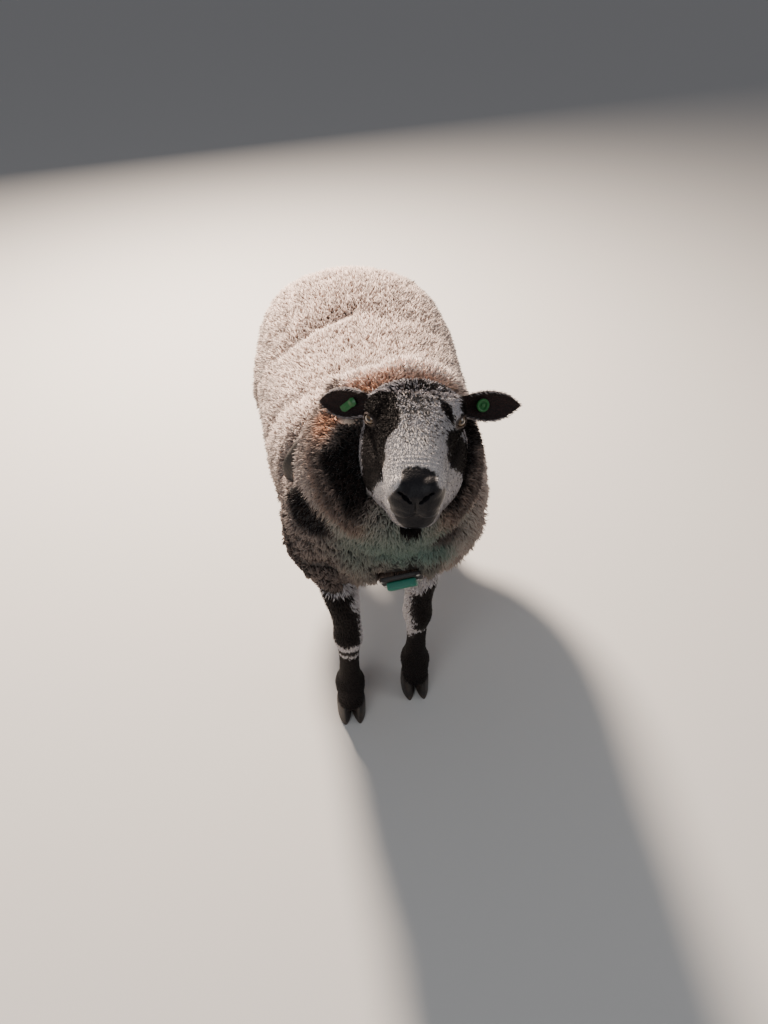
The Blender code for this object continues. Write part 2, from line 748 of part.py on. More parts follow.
def clump(place, normal, radius, rise, spin):
    """A rounded clump of fleece, its root sunk below the surface that it stands on."""
    turn = Vector(normal).to_track_quat("Z", "Y").to_matrix().to_4x4()
    matrix = Matrix.Translation(place) @ turn @ Matrix.Rotation(spin, 4, "Z")
    bm = bmesh.new()
    rows = []
    for share, height in CLUMP_PROFILE:
        level = rise * height - (radius * share) ** 2 / (2 * CLUMP_BEND)
        row = []
        for step in range(CLUMP_SIDES):
            angle = 2 * math.pi * step / CLUMP_SIDES
            place = Vector((math.cos(angle) * radius * share, math.sin(angle) * radius * share, level))
            row.append(bm.verts.new(matrix @ place))
        rows.append(row)
    for row, following in zip(rows, rows[1:]):
        for step in range(CLUMP_SIDES):
            after = (step + 1) % CLUMP_SIDES
            bm.faces.new((row[step], row[after], following[after], following[step]))
    top = bm.verts.new(matrix @ Vector((0, 0, rise)))
    for step in range(CLUMP_SIDES):
        bm.faces.new((rows[-1][step], rows[-1][(step + 1) % CLUMP_SIDES], top))
    bm.faces.new(reversed(rows[0]))
    return new_object("clump", bm)


def fleece_mass():
    """Trunk, neck and limb tops in one closed body, clumps and all."""
    amount = -CORE_BELOW_TIPS if FLEECE_IN_CLUMPS else 0.0
    mass = torso_form(amount)
    others = [neck_form(amount)]
    for name in FEET:
        side = SIDES[name.rsplit("_", 1)[1]]
        rows = SHOULDER_ROWS if name.startswith("fore") else THIGH_ROWS
        others.append(limb_top(name, rows, side, amount * LIMB_TOP_SHARE))
    mass = boolean(mass, others, "UNION")
    if FLEECE_IN_CLUMPS:
        boolean(mass, fleece_clumps(mass), "UNION")
    return mass


def neck_share(points):
    """How much closer the clumps stand on the neck than on the trunk."""
    back, front = np.array(NECK_CUT_BACK), np.array(NECK_CUT_FRONT)
    along = (front - back) / np.linalg.norm(front - back)
    height = (points[:, 1] - back[0]) * along[1] - (points[:, 2] - back[1]) * along[0]
    return np.where(height > 0, NECK_SPACING_SHARE, 1.0)


def fleece_clumps(mass):
    """Clumps from a few sizes over the whole coat, clear of the head and the legs' roots."""
    centres, leans, reach = even_places(mass, CLUMP_SPACING, CLUMP_SEED, neck_share)
    rng = np.random.default_rng(CLUMP_SEED)
    face = head_frame().inverted()
    clumps = []
    for place, normal, cell in zip(centres, leans, reach):
        spin = float(rng.random()) * 2 * math.pi
        ahead = face @ Vector(place)
        if ahead.y < CLUMPS_BEHIND and abs(ahead.x) < 0.07 and ahead.z > -0.16:
            continue
        if place[2] < CLUMPS_ABOVE:
            continue
        size = min(CLUMP_SIZES, key=lambda r: abs(r - cell * CLUMP_OVERLAP))
        clumps.append(clump(place, normal, size, CLUMP_RISE, spin))
    return clumps


def tail_form():
    """The hanging tail with its own small clumps, flat where it lies against the rump."""
    tail = upright("tail", TAIL_ROWS, 2, 12, 2.1)
    if FLEECE_IN_CLUMPS:
        centres, leans, _ = even_places(tail, TAIL_SPACING, CLUMP_SEED)
        clumps = []
        for number, (place, normal) in enumerate(zip(centres, leans)):
            if normal[1] > -0.2 and TAIL_ENDS[0] < place[2] < TAIL_ENDS[1]:
                clumps.append(clump(place, normal, TAIL_CLUMP, TAIL_RISE, number))
        boolean(tail, clumps, "UNION")
    low = (-0.2, TAIL_ZONE[0][1] + GAP, 0.0)
    boolean(tail, [block("zone", low, (0.2, 1.0, 1.0))], "INTERSECT")
    return tail


def below_neck_cut(amount):
    """A block that holds everything on the trunk's side of the neck's cut, less amount."""
    back = Vector((0, *NECK_CUT_BACK))
    front = Vector((0, *NECK_CUT_FRONT))
    along = (front - back).normalized()
    rise = Vector((1, 0, 0)).cross(along)
    if rise.z < 0:
        rise = -rise
    matrix = Matrix.Translation(back) @ Matrix((Vector((1, 0, 0)), along, rise)).transposed().to_4x4()
    if matrix.determinant() < 0:
        matrix = matrix @ Matrix.Diagonal((-1, 1, 1, 1))
    return block("zone", (-1, -2, -2), (1, 2, -amount), matrix)


def add_material(obj, colour, roughness):
    material = bpy.data.materials.new(obj.name)
    material.use_nodes = True
    shader = material.node_tree.nodes["Principled BSDF"]
    shader.inputs["Base Color"].default_value = (*colour, 1)
    shader.inputs["Roughness"].default_value = roughness
    obj.data.materials.clear()
    obj.data.materials.append(material)


def finish(obj, name, colour, roughness, smooth=True):
    """Names a finished node, joins its doubled corners and gives it its material."""
    obj.name = name
    obj.data.name = name
    placed(obj, Matrix.Translation(FRAME_SHIFT))
    bm = bmesh.new()
    bm.from_mesh(obj.data)
    bmesh.ops.remove_doubles(bm, verts=bm.verts, dist=0.00002)
    bmesh.ops.dissolve_degenerate(bm, edges=bm.edges, dist=0.00002)
    bmesh.ops.triangulate(bm, faces=bm.faces)
    for face in bm.faces:
        face.smooth = smooth
    bm.to_mesh(obj.data)
    bm.free()
    add_material(obj, colour, roughness)


def build():
    """Makes every node of the ram."""
    remove(bpy.data.objects)
    face = head_frame()
    outer = torso_form()
    tree = BVHTree.FromObject(outer, bpy.context.evaluated_depsgraph_get())

    # The harness lies in channels cut clear of it.
    straps = []
    channels = []
    half = STRAP_THICKNESS / 2
    low, high = -STRAP_DEPTH - half, -STRAP_DEPTH + half
    for side_name, side in SIDES.items():
        over_shoulder = SHOULDER_STRAP + STRAP_ENDS[side_name]
        for kind, guides in (("shoulder_strap", over_shoulder), ("girth_strap", GIRTH_STRAP)):
            name = kind + "_" + side_name
            straps.append(strap_form(name, tree, guides, side, low, high, STRAP_WIDTH))
            wide = STRAP_WIDTH + 4 * GAP
            channels.append(strap_form("channel", tree, guides, side, low - 2 * GAP, 0.06, wide, 2 * GAP))
    place, normal = nearest(tree, PLATE_PLACE)
    plate_turn = normal.to_track_quat("Z", "Y").to_matrix().to_4x4()
    tilt = Matrix.Rotation(math.radians(PLATE_TILT), 4, "Z")
    roll = Matrix.Rotation(math.radians(PLATE_ROLL), 4, "Y")
    seat = Matrix.Translation(place) @ roll @ plate_turn @ tilt
    size = Vector(PLATE_SIZE) / 2
    sunk = -STRAP_DEPTH
    plate = block("breast_plate", (-size.x, -size.y, sunk), (size.x, size.y, sunk + PLATE_SIZE[2]), seat)
    wide = (-size.x - GAP, -size.y - GAP, sunk - GAP)
    channels.append(block("channel", wide, (size.x + GAP, size.y + GAP, 0.08), seat))
    low = sunk + PLATE_SIZE[2] + GAP
    size = Vector(CRAYON_SIZE) / 2
    crayon = block("crayon", (-size.x, -size.y, low), (size.x, size.y, low + CRAYON_SIZE[2]), seat)
    place, normal = nearest(tree, SPINE_PLACE)
    spine_turn = normal.to_track_quat("Z", "Y").to_matrix().to_4x4()
    seat = Matrix.Translation(place) @ spine_turn
    size = Vector(SPINE_SIZE) / 2
    spine = block("spine_plate", (-size.x, -size.y, sunk), (size.x, size.y, sunk + SPINE_SIZE[2]), seat)
    wide = (-size.x - GAP, -size.y - GAP, sunk - GAP)
    channels.append(block("channel", wide, (size.x + GAP, size.y + GAP, 0.08), seat))
    remove([outer])

    mass = fleece_mass()
    boolean(mass, channels, "DIFFERENCE")
    cuts = [placed(head_form(GAP), face)]
    for side in SIDES.values():
        cuts += [placed(ear_form(side, GAP), face), placed(tag_form("clear", side, GAP), face)]
    cuts += [leg_form(name, GAP) for name in FEET]
    cuts.append(spread(upright("scrotum", SCROTUM_ROWS, 2, 14, 2.1), GAP))
    boolean(mass, cuts, "DIFFERENCE")

    tail = tail_form()
    boolean(mass, [block("zone", *TAIL_ZONE)], "DIFFERENCE")
    neck = boolean(copy_of(mass, "neck"), [below_neck_cut(0.0)], "DIFFERENCE")
    boolean(mass, [below_neck_cut(GAP)], "INTERSECT")
    for obj, name in ((mass, "torso"), (neck, "neck"), (tail, "tail")):
        keep_largest(obj)
        finish(obj, name, FLEECE_COLOUR, 0.9)

    head = keep_largest(boolean(head_form(), head_cuts(), "DIFFERENCE"))
    finish(placed(head, face), "head", FACE_COLOUR, 0.7)
    for side_name, side in SIDES.items():
        clear = [head_form(GAP), tag_form("clear", side, GAP)]
        ear = keep_largest(boolean(ear_form(side), clear, "DIFFERENCE"))
        finish(placed(ear, face), "ear_" + side_name, DARK_COLOUR, 0.7)
        finish(placed(tag_form("tag", side), face), "ear_tag_" + side_name, TAG_COLOUR, 0.4, False)
        eye = ellipsoid("eye", eye_place(side), (EYE_RADIUS,) * 3, 12, 8)
        finish(placed(eye, face), "eye_" + side_name, EYE_COLOUR, 0.1)
    for name in FEET:
        side = SIDES[name.rsplit("_", 1)[1]]
        finish(leg_form(name), name, DARK_COLOUR, 0.7)
        for inner in (True, False):
            label = "claw_" + name.replace("leg", "") + ("_inner" if inner else "_outer")
            finish(claw_form(label, FEET[name], side, inner), label, CLAW_COLOUR, 0.5)
    finish(upright("scrotum", SCROTUM_ROWS, 2, 14, 2.1), "scrotum", SKIN_COLOUR, 0.8)
    for strap in straps:
        finish(strap, strap.name, STRAP_COLOUR, 0.8)
    finish(plate, "breast_plate", PLATE_COLOUR, 0.6, False)
    finish(crayon, "crayon", CRAYON_COLOUR, 0.6, False)
    finish(spine, "spine_plate", PLATE_COLOUR, 0.6, False)


build()
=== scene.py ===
# %% [markdown]
# # A polled spotted ram in a marking harness
# The solids of this animal give its build, and this notebook gives it a skin, a fleece and
# a finish. Everything below is worked out as arrays of points: a smooth skin first, then
# the wool that stands on it, lock by lock, then eyes, hooves, harness and ear tags.
# The ram faces -Y, its left side is +X, and the floor is z = 0, in metres.

import json
import math

import bmesh
import bpy
import numpy as np
from mathutils import Matrix, Vector
from mathutils.bvhtree import BVHTree
from mathutils.kdtree import KDTree

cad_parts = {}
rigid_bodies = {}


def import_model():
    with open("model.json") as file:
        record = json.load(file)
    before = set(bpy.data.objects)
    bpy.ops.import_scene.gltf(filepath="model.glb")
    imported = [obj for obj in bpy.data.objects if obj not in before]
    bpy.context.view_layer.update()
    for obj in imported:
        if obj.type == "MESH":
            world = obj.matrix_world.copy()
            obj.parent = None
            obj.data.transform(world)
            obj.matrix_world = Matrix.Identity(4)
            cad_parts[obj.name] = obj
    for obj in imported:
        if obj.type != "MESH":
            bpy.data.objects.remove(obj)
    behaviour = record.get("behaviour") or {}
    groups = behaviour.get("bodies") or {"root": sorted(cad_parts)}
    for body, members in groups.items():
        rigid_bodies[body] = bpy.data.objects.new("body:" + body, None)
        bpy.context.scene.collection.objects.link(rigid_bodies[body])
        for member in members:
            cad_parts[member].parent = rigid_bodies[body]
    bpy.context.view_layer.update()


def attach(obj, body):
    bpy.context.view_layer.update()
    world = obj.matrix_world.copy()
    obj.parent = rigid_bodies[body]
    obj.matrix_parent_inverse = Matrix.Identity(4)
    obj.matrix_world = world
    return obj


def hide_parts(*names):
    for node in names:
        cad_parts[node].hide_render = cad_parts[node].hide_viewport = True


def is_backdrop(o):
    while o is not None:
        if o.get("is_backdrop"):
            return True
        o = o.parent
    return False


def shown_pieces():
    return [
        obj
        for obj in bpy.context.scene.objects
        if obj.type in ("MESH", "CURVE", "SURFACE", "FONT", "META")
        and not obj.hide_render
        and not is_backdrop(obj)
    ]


for left_over in list(bpy.data.objects):
    bpy.data.objects.remove(left_over)
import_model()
scene = bpy.context.scene

# %% [markdown]
# ## Sections of the body
# A body this soft is easiest to shape from cross sections, as a taxidermist cuts boards for
# a mannikin. Each row below is one section, taken from the same sizes as the solids. The
# alternative, sculpting, would be freer but could not be measured or repeated.

# %% The rows of sections
def mm(*rows):
    """Rows of lengths in millimetres, to a tenth of one, as metres."""
    return np.round(np.array(rows) * 10) / 10000


SHIFT = np.array((0.0, -0.016, 0.0))  # from where the sections are written to where the solids stand
CORE_DEPTH = 0.019  # from the tips of the wool to the skin
BODY_CUBE, LEG_CUBE, HEAD_CUBE = 0.0095, 0.0042, 0.0021
TORSO = mm(
    (-378, 60, 520, 610, 12), (-366, 112, 476, 655, 12), (-335, 156, 432, 695, 12),
    (-285, 184, 402, 716, 11), (-200, 205, 374, 730, 10), (-80, 220, 352, 728, 8),
    (60, 231, 342, 714, 6), (200, 239, 345, 718, 4), (330, 237, 365, 734, 2),
    (430, 216, 400, 726, 0), (500, 172, 440, 695, 0), (535, 116, 480, 652, 0),
    (548, 60, 520, 615, 0),
)
NECK = (
    (0.0, -0.12, 0.56, 18, 0.16, 0.15, 0.13), (0.004, -0.2, 0.6, 30, 0.172, 0.17, 0.15),
    (0.01, -0.27, 0.664, 40, 0.164, 0.168, 0.16), (0.018, -0.325, 0.724, 46, 0.149, 0.142, 0.145),
    (0.024, -0.355, 0.758, 48, 0.122, 0.106, 0.12), (0.028, -0.37, 0.776, 48, 0.078, 0.062, 0.078),
)
SHOULDER = mm(
    (580, 70, 70, 40, 80), (500, 60, 62, 62, 100), (440, 36, 40, 54, 78), (400, 18, 20, 42, 56),
    (386, 13, 16, 30, 42),
)
THIGH = mm(
    (600, 50, -60, 70, 110), (500, 44, -70, 94, 128), (430, 34, -68, 86, 116),
    (375, 18, -45, 62, 84), (338, 8, -18, 44, 58), (326, 6, -14, 30, 40),
)
FORELEG = mm(
    (432, 22, 24, 30, 40), (396, 14, 17, 31, 42), (345, 6, 8, 29, 38), (300, 1, 0, 26.5, 31),
    (272, 0, -5, 28, 31.5), (250, 0, -4, 27, 31), (225, 0, -1, 22.5, 27), (180, 0, 3, 20.5, 25),
    (130, 0, 4, 22.5, 27), (100, 0, 4, 30, 34), (82, 0, 2, 30, 34), (64, 0, -3, 28.5, 31),
    (42.4, 0, -8, 30.5, 33.5),
)
HINDLEG = mm(
    (385, 12, -40, 34, 52), (345, 8, -20, 34, 52), (310, 3, 4, 29, 46), (280, 0, 20, 26, 40),
    (245, 0, 26, 23.5, 33), (195, 0, 20, 20.5, 26), (140, 0, 11, 22, 26), (105, 0, 5, 28.5, 33),
    (85, 0, 2, 29, 33), (66, 0, -3, 27.5, 30), (42.4, 0, -8, 29.5, 33.5),
)
FEET = {
    "fore_left": (0.076, -0.258, 1), "fore_right": (-0.076, -0.306, -1),
    "hind_left": (0.108, 0.395, 1), "hind_right": (-0.108, 0.35, -1),
}
TAIL = mm(
    (668, 0, 526, 24, 16), (640, 0, 538, 38, 24), (580, 0, 550, 43, 27), (500, 0, 556, 43, 27),
    (420, 0, 558, 36, 24), (362, 0, 556, 24, 16),
)
PURSE = mm(
    (412, 0, 330, 34, 32), (365, 0, 334, 35, 33), (315, 0, 338, 42, 42), (265, 0, 340, 44, 46),
    (232, 0, 340, 33, 35), (218, 0, 340, 14, 15),
)
print("sections:", sum(map(len, (TORSO, NECK, SHOULDER, THIGH, FORELEG, HINDLEG, TAIL, PURSE))))

# %% [markdown]
# ## From sections to closed shells
# Between the sections the body runs on a smooth curve, so that no board shows through. A
# section is a rounded oval, squarer than an ellipse where flesh lies flat, and a tube of
# such ovals is shut by a pole at each end.

# %% Curves, ovals and tubes
def curve_through(rows, steps):
    """Rows on a Catmull-Rom curve: between b and c, half of 2b + (c - a)t + (2a - 5b + 4c - d)t^2
    + (3b - a - 3c + d)t^3, for steps values of t."""
    rows = np.asarray(rows, float)
    ends = np.vstack([rows[:1], rows, rows[-1:]])
    a, b, c, d = (ends[i : len(ends) - 3 + i, None, :] for i in range(4))
    t = np.linspace(0, 1, steps, endpoint=False)[None, :, None]
    made = 2 * b + (c - a) * t + (2 * a - 5 * b + 4 * c - d) * t**2 + (3 * b - a - 3 * c + d) * t**3
    return np.vstack([made.reshape(-1, rows.shape[1]) / 2, rows[-1:]])


def oval_rings(middles, side, rise, half_width, up, down, squareness, count):
    """middle + side w |cos a|^(2/n) + rise r |sin a|^(2/n), signs kept, where r is the reach up
    for the upper half and the reach down for the lower."""
    angle = 2 * np.pi * (np.arange(count) + 0.5) / count
    c, s = np.cos(angle), np.sin(angle)
    across = np.sign(c) * np.abs(c) ** (2 / squareness)
    height = np.sign(s) * np.abs(s) ** (2 / squareness)
    reach = np.where(s > 0, np.asarray(up)[:, None], np.asarray(down)[:, None]) * height
    width = np.asarray(half_width)[:, None] * across
    return middles[:, None] + side[:, None] * width[..., None] + rise[:, None] * reach[..., None]


def tube(rings):
    """Points and triangles of a tube through (rows, count) points with a pole at the middle of
    each end, turned outwards by the sign of its volume, a sixth of the sum of a . (b x c)."""
    rows, count = rings.shape[:2]
    points = np.vstack([rings.reshape(-1, 3), rings[0].mean(0), rings[-1].mean(0)])
    r, c = np.meshgrid(np.arange(rows - 1), np.arange(count), indexing="ij")
    here, after = (r * count + c).ravel(), (r * count + (c + 1) % count).ravel()
    i = np.arange(count)
    j, last = (i + 1) % count, (rows - 1) * count
    pole = np.full(count, rows * count)
    faces = np.vstack([
        np.stack([here, after, after + count], 1), np.stack([here, after + count, here + count], 1),
        np.stack([j, i, pole], 1), np.stack([last + i, last + j, pole + 1], 1),
    ])
    a, b, c = (points[faces[:, k]] for k in range(3))
    volume = (a * np.cross(b, c)).sum() / 6
    return points, faces if volume > 0 else faces[:, ::-1]


def cross_of(points, faces):
    """The cross product of two sides of each triangle: its normal, twice its area long."""
    a, b, c = (points[faces[:, k]] for k in range(3))
    return np.cross(b - a, c - a)


def corner_normals(points, faces):
    """At each corner, the cross products of its triangles added up and brought to length 1."""
    cross = cross_of(points, faces)
    total = np.stack([
        sum(np.bincount(faces[:, k], cross[:, axis], len(points)) for k in range(3)) for axis in range(3)
    ], 1)
    return unit(total)


def unit(vectors, least=1e-12):
    """Rows of vectors divided by their lengths, but by no less than least."""
    return vectors / np.maximum(np.linalg.norm(vectors, axis=1, keepdims=True), least)


def pushed(shell, amount):
    """The shell with every point moved by amount along its normal, inwards where it is below 0."""
    points, faces = shell
    return points + corner_normals(points, faces) * amount, faces


X, Y, Z = np.eye(3)[:, None]


def across_shell(rows, steps, count, squareness):
    """Sections that stand across Y: along, half width, underside, top and sideways middle."""
    rows = curve_through(rows, steps)
    along, half_width, low, high = rows.T[:4]
    sideways = rows[:, 4] if rows.shape[1] > 4 else 0 * along
    middle = np.stack([sideways, along, (low + high) / 2], 1)
    reach = (high - low) / 2
    return tube(oval_rings(middle, X, Z, half_width, reach, reach, squareness, count))


def upright_shell(rows, steps, count, squareness, foot=(0, 0, 1)):
    """Sections that lie level: height, sideways, along, half width and half length."""
    level, sideways, along, half_width, half_length = curve_through(rows, steps).T
    middle = np.stack([foot[0] + foot[2] * sideways, foot[1] + along, level], 1)
    return tube(oval_rings(middle, X, Y, half_width, half_length, half_length, squareness, count))


def neck_shell(rows, steps, count, squareness):
    """Sections that lean: their rise is (0, sin lean, cos lean), with its own reach to the nape
    and to the throat."""
    rows = curve_through(rows, steps)
    lean = np.radians(rows[:, 3])
    rise = np.stack([0 * lean, np.sin(lean), np.cos(lean)], 1)
    return tube(oval_rings(rows[:, :3], X, rise, *rows.T[4:], squareness, count))


def ball(place, radii, rows=16, count=24, turn=np.eye(3)):
    """place + turn (rx sin p cos a, ry sin p sin a, rz cos p), for p from pole to pole."""
    p = np.linspace(0, np.pi, rows + 2)[1:-1, None]
    a = 2 * np.pi * np.arange(count)[None, :] / count
    ways = np.stack([np.sin(p) * np.cos(a), np.sin(p) * np.sin(a), np.cos(p) + 0 * a], -1)
    return tube(np.asarray(place) + (ways * np.asarray(radii)) @ np.asarray(turn).T)


# %% [markdown]
# ## Melting shells into one skin
# Real skin runs over trunk, neck and limbs without a seam. The shells overlap, so they are
# melted together on a fine grid of cubes and smoothed. The face needs a finer grid than the
# trunk, which is why trunk, legs and head are melted apart and then joined.

# %% Meshes and the melt
def new_piece(name, points, faces, smooth=True):
    """An object at the origin whose mesh is these points and triangles."""
    mesh = bpy.data.meshes.new(name)
    mesh.vertices.add(len(points))
    mesh.vertices.foreach_set("co", np.asarray(points, np.float32).ravel())
    mesh.loops.add(faces.size)
    mesh.polygons.add(len(faces))
    mesh.polygons.foreach_set("loop_start", np.arange(len(faces), dtype=np.int32) * faces.shape[1])
    mesh.polygons.foreach_set("vertices", np.asarray(faces, np.int32).ravel())
    mesh.update(calc_edges=True)
    if smooth:
        mesh.shade_smooth()
    made = bpy.data.objects.new(name, mesh)
    scene.collection.objects.link(made)
    return made


def arrays_of(obj):
    """The points and triangles of an object, with its modifiers."""
    graph = bpy.context.evaluated_depsgraph_get()
    mesh = bpy.data.meshes.new_from_object(obj.evaluated_get(graph))
    mesh.calc_loop_triangles()
    points = np.empty(len(mesh.vertices) * 3, np.float32)
    faces = np.empty(len(mesh.loop_triangles) * 3, np.int32)
    mesh.vertices.foreach_get("co", points)
    mesh.loop_triangles.foreach_get("vertices", faces)
    bpy.data.meshes.remove(mesh)
    return points.reshape(-1, 3).astype(float), faces.reshape(-1, 3)


def together(shells):
    """Several shells as one pair of arrays, each one's corners counted on from the last."""
    starts = np.cumsum([0] + [len(points) for points, _ in shells[:-1]])
    faces = [faces + start for (_, faces), start in zip(shells, starts)]
    return np.vstack([points for points, _ in shells]), np.vstack(faces)


def melted(shells, cube, smoothing):
    """The outside of overlapping shells on a grid of cubes, then smoothed."""
    obj = new_piece("melt", *together(shells))
    melt = obj.modifiers.new("melt", "REMESH")
    melt.mode = "VOXEL"
    melt.voxel_size = cube
    soften = obj.modifiers.new("soften", "SMOOTH")
    soften.factor = 0.5
    soften.iterations = smoothing
    made = arrays_of(obj)
    bpy.data.objects.remove(obj)
    return made


def carved(shell, others, operation):
    """The shell joined with, or cut by, other closed shells, one after another."""
    obj = new_piece("carve", *shell)
    for other in others:
        tool = new_piece("tool", *other)
        join = obj.modifiers.new("join", "BOOLEAN")
        join.operation = operation
        join.object = tool
        join.solver = "MANIFOLD"
        made = arrays_of(obj)
        bpy.data.objects.remove(obj)
        bpy.data.objects.remove(tool)
        obj = new_piece("carve", *made)
    bpy.data.objects.remove(obj)
    return made


def relaxed(points, faces, weight, rounds):
    """Each point moved by weight / 2 of the way to the mean of its neighbours, round by round."""
    edges = np.vstack([faces[:, [0, 1]], faces[:, [1, 2]], faces[:, [2, 0]]])
    edges = np.unique(np.sort(edges, axis=1), axis=0)
    both = np.vstack([edges, edges[:, ::-1]])
    held = np.maximum(np.bincount(both[:, 0], minlength=len(points)), 1)[:, None]
    for _ in range(rounds):
        near = np.stack([np.bincount(both[:, 0], points[both[:, 1], k], len(points)) for k in range(3)], 1)
        points = points + weight[:, None] * 0.5 * (near / held - points)
    return points


# %% [markdown]
# ## Trunk, neck and limbs
# Under the wool lies a plain barrel of a body. It is made to the fleece's outer sizes and
# then drawn in by the depth of the coat. Folds cross the back, because a fleece parts where
# the loose skin under it creases, and behind the poll the skin rises in a thick roll.

# %% The body's skin
def hump(value, middle, width):
    """exp(-r^2), with r the distance from the middle in units of width."""
    return np.exp(-(((value - middle) / width) ** 2))


def fold(points, start, end, width, depth, out):
    """-depth exp(-(d/width)^2), with d the distance to the line from start to end, on the side
    of the body that out points to."""
    start, end = np.asarray(start), np.asarray(end)
    along = end - start
    share = np.clip(((points - start) @ along) / (along @ along), 0, 1)
    away = np.linalg.norm(points - start - share[:, None] * along, axis=1)
    fade = np.sin(np.pi * np.clip(share, 0.02, 0.98)) ** 0.5
    return -depth * hump(away, 0, width) * fade * (out > 0)


outer_trunk = across_shell(TORSO, 6, 96, 2.25)
parts = [pushed(shell, -CORE_DEPTH) for shell in (outer_trunk, neck_shell(NECK, 6, 96, 2.1))]
parts += [upright_shell(rows, 6, 40, 2.1) for rows in (PURSE, TAIL)]
for name, foot in FEET.items():
    rows = SHOULDER if name.startswith("fore") else THIGH
    parts.append(pushed(upright_shell(rows, 6, 48, 2.1, foot), -CORE_DEPTH * 0.7))
body_points, body_faces = melted(parts, BODY_CUBE, 7)
body_normals = corner_normals(body_points, body_faces)
up = body_normals[:, 2]
FOLDS = (
    ((-0.18, 0.15, 0.64), (0.01, 0.235, 0.71), 0.021, 0.021),
    ((-0.02, 0.215, 0.71), (0.19, 0.2, 0.64), 0.034, 0.006),
    ((-0.19, -0.045, 0.6), (0.0, -0.03, 0.712), 0.026, 0.012),
    ((-0.02, -0.03, 0.712), (0.19, -0.06, 0.62), 0.026, 0.012),
)
creases = sum(fold(body_points, a, b, w, d, up) for a, b, w, d in FOLDS)
x, y, z = (body_points + SHIFT).T
ridge = 0.03 * hump(y, -0.247, 0.024) / (1 + np.exp(-(z - 0.755) / 0.008))
ridge = ridge / (1 + np.exp(-(x + 0.072) / 0.007)) / (1 + np.exp((x - 0.145) / 0.007))
body = (body_points + body_normals * (creases + ridge)[:, None], body_faces)
print("body skin:", len(body_faces), "triangles")

# %% [markdown]
# ## Legs
# A sheep's shank is bone and sinew under tight skin: flat in front at the knee, hollow on
# each side between the cannon bone and the tendons, and full again at the fetlock. These
# forms are added as low hills and hollows on the melted shell.

# %% The legs' skin
def hill(points, place, reach):
    """exp(-r^2), with r the distance from place in units of its reach along each axis."""
    return np.exp(-(((points - np.asarray(place)) / np.asarray(reach)) ** 2).sum(1))


def hills(points, rows):
    """The sum of hills, each a height (below 0 for a hollow), a place and its reach."""
    return sum(height * hill(points, place, reach) for height, place, reach in rows)


def leg_relief(points, foot, knee, hollow):
    """Hills and hollows from their places beside the foot: knee or hock, tendons, fetlock."""
    local = points - np.array((foot[0], foot[1], 0))
    rows = [(0.0022, (0, -0.03, knee), (0.022, 0.016, 0.02))]
    for side in (-1, 1):
        rows += [
            (0.002, (side * 0.026, 0, knee - 0.004), (0.01, 0.018, 0.015)),
            (-0.0032, (side * 0.021, 0.012, hollow), (0.012, 0.009, 0.055)),
            (0.0018, (side * 0.024, 0.008, 0.098), (0.012, 0.018, 0.013)),
            (-0.0016, (side * 0.022, -0.012, 0.064), (0.012, 0.016, 0.01)),
        ]
    return hills(local, rows)


legs = []
for name, foot in FEET.items():
    fore = name.startswith("fore")
    points, faces = melted([upright_shell(FORELEG if fore else HINDLEG, 6, 48, 2.2, foot)], LEG_CUBE, 3)
    relief = leg_relief(points, foot, 0.262 if fore else 0.285, 0.17 if fore else 0.18)
    legs.append((points + corner_normals(points, faces) * relief[:, None], faces))
print("leg skin:", sum(len(faces) for _, faces in legs), "triangles")

# %% [markdown]
# ## The head
# The head gets the most care. Skull and lower jaw are two rows of sections in a frame of
# their own, which sits midway between the eyes with -Y towards the nose. Swellings at the
# eye, cheek and nostril melt into them, and the finer forms follow as hills and hollows.

# %% The head's own frame and rows
SKULL = mm(
    (110, 32, -60, -10), (90, 64, -78, 8), (55, 77, -84, 26), (15, 74, -76, 36), (-20, 66, -68, 36),
    (-55, 56, -62, 32), (-95, 48, -58, 27), (-125, 44, -54, 21), (-148, 41, -50, 13),
    (-163, 34, -44, 3), (-171, 19, -36, -9),
)
JAW = mm(
    (130, 34, -106, -50), (105, 66, -128, -28), (60, 78, -136, -15), (20, 84, -140, -9),
    (-30, 77, -133, -12), (-70, 62, -117, -18), (-105, 46, -99, -27), (-135, 37, -87, -34),
    (-152, 28, -80, -40), (-160, 12, -70, -50),
)
SWELLINGS = mm(
    ((51, 12, 9), (24, 34, 20.5)), ((55, 8, -64), (25, 60, 50)), ((18, -150, -9), (20, 20, 20)),
    ((15, -150, -40), (20, 20, 14)),
)
EYE = np.array((0.0615, -0.002, 0.004))
EYE_RADIUS = 0.0135
GAZE = np.array((0.72, -0.64, 0.24))
LID = (0.0128, 0.007)
head_matrix = (
    Matrix.Translation((0.036, -0.392, 0.839)) @ Matrix.Rotation(math.radians(-8), 4, "Z")
    @ Matrix.Rotation(math.radians(1), 4, "Y")
)
HEAD = np.array(head_matrix)


def from_head(points):
    """Places in the head's frame as places on the animal: turned, then moved."""
    return points @ HEAD[:3, :3].T + HEAD[:3, 3]


def to_head(points):
    """Places on the animal as places in the head's frame: moved, then turned back."""
    return (points - HEAD[:3, 3]) @ HEAD[:3, :3]


SIDES = ((1, "left"), (-1, "right"))


def mirrored(place, side):
    """The same place on the other side for -1, and as it is for 1."""
    return np.asarray(place) * np.array((side, 1, 1))


def gaze_axes(side):
    """Columns: the way the eye looks, level across it, and up, each at right angles."""
    out = mirrored(GAZE, side) / np.linalg.norm(GAZE)
    across = np.cross((0, 0, 1), out)
    across /= np.linalg.norm(across)
    return np.stack([out, across, np.cross(out, across)], 1)


print("eye to eye:", round(float(EYE[0] * 2 * 1000)), "mm")

# %% [markdown]
# ## Hills and hollows of the face
# Brow, the hollow before the eye, the pad of the lip and the wing of the nostril are what
# make it a sheep's face. Round each eye the lids rise in a thin rim with a crease behind
# it, measured in the eye's own directions so that both lids follow the eyeball.

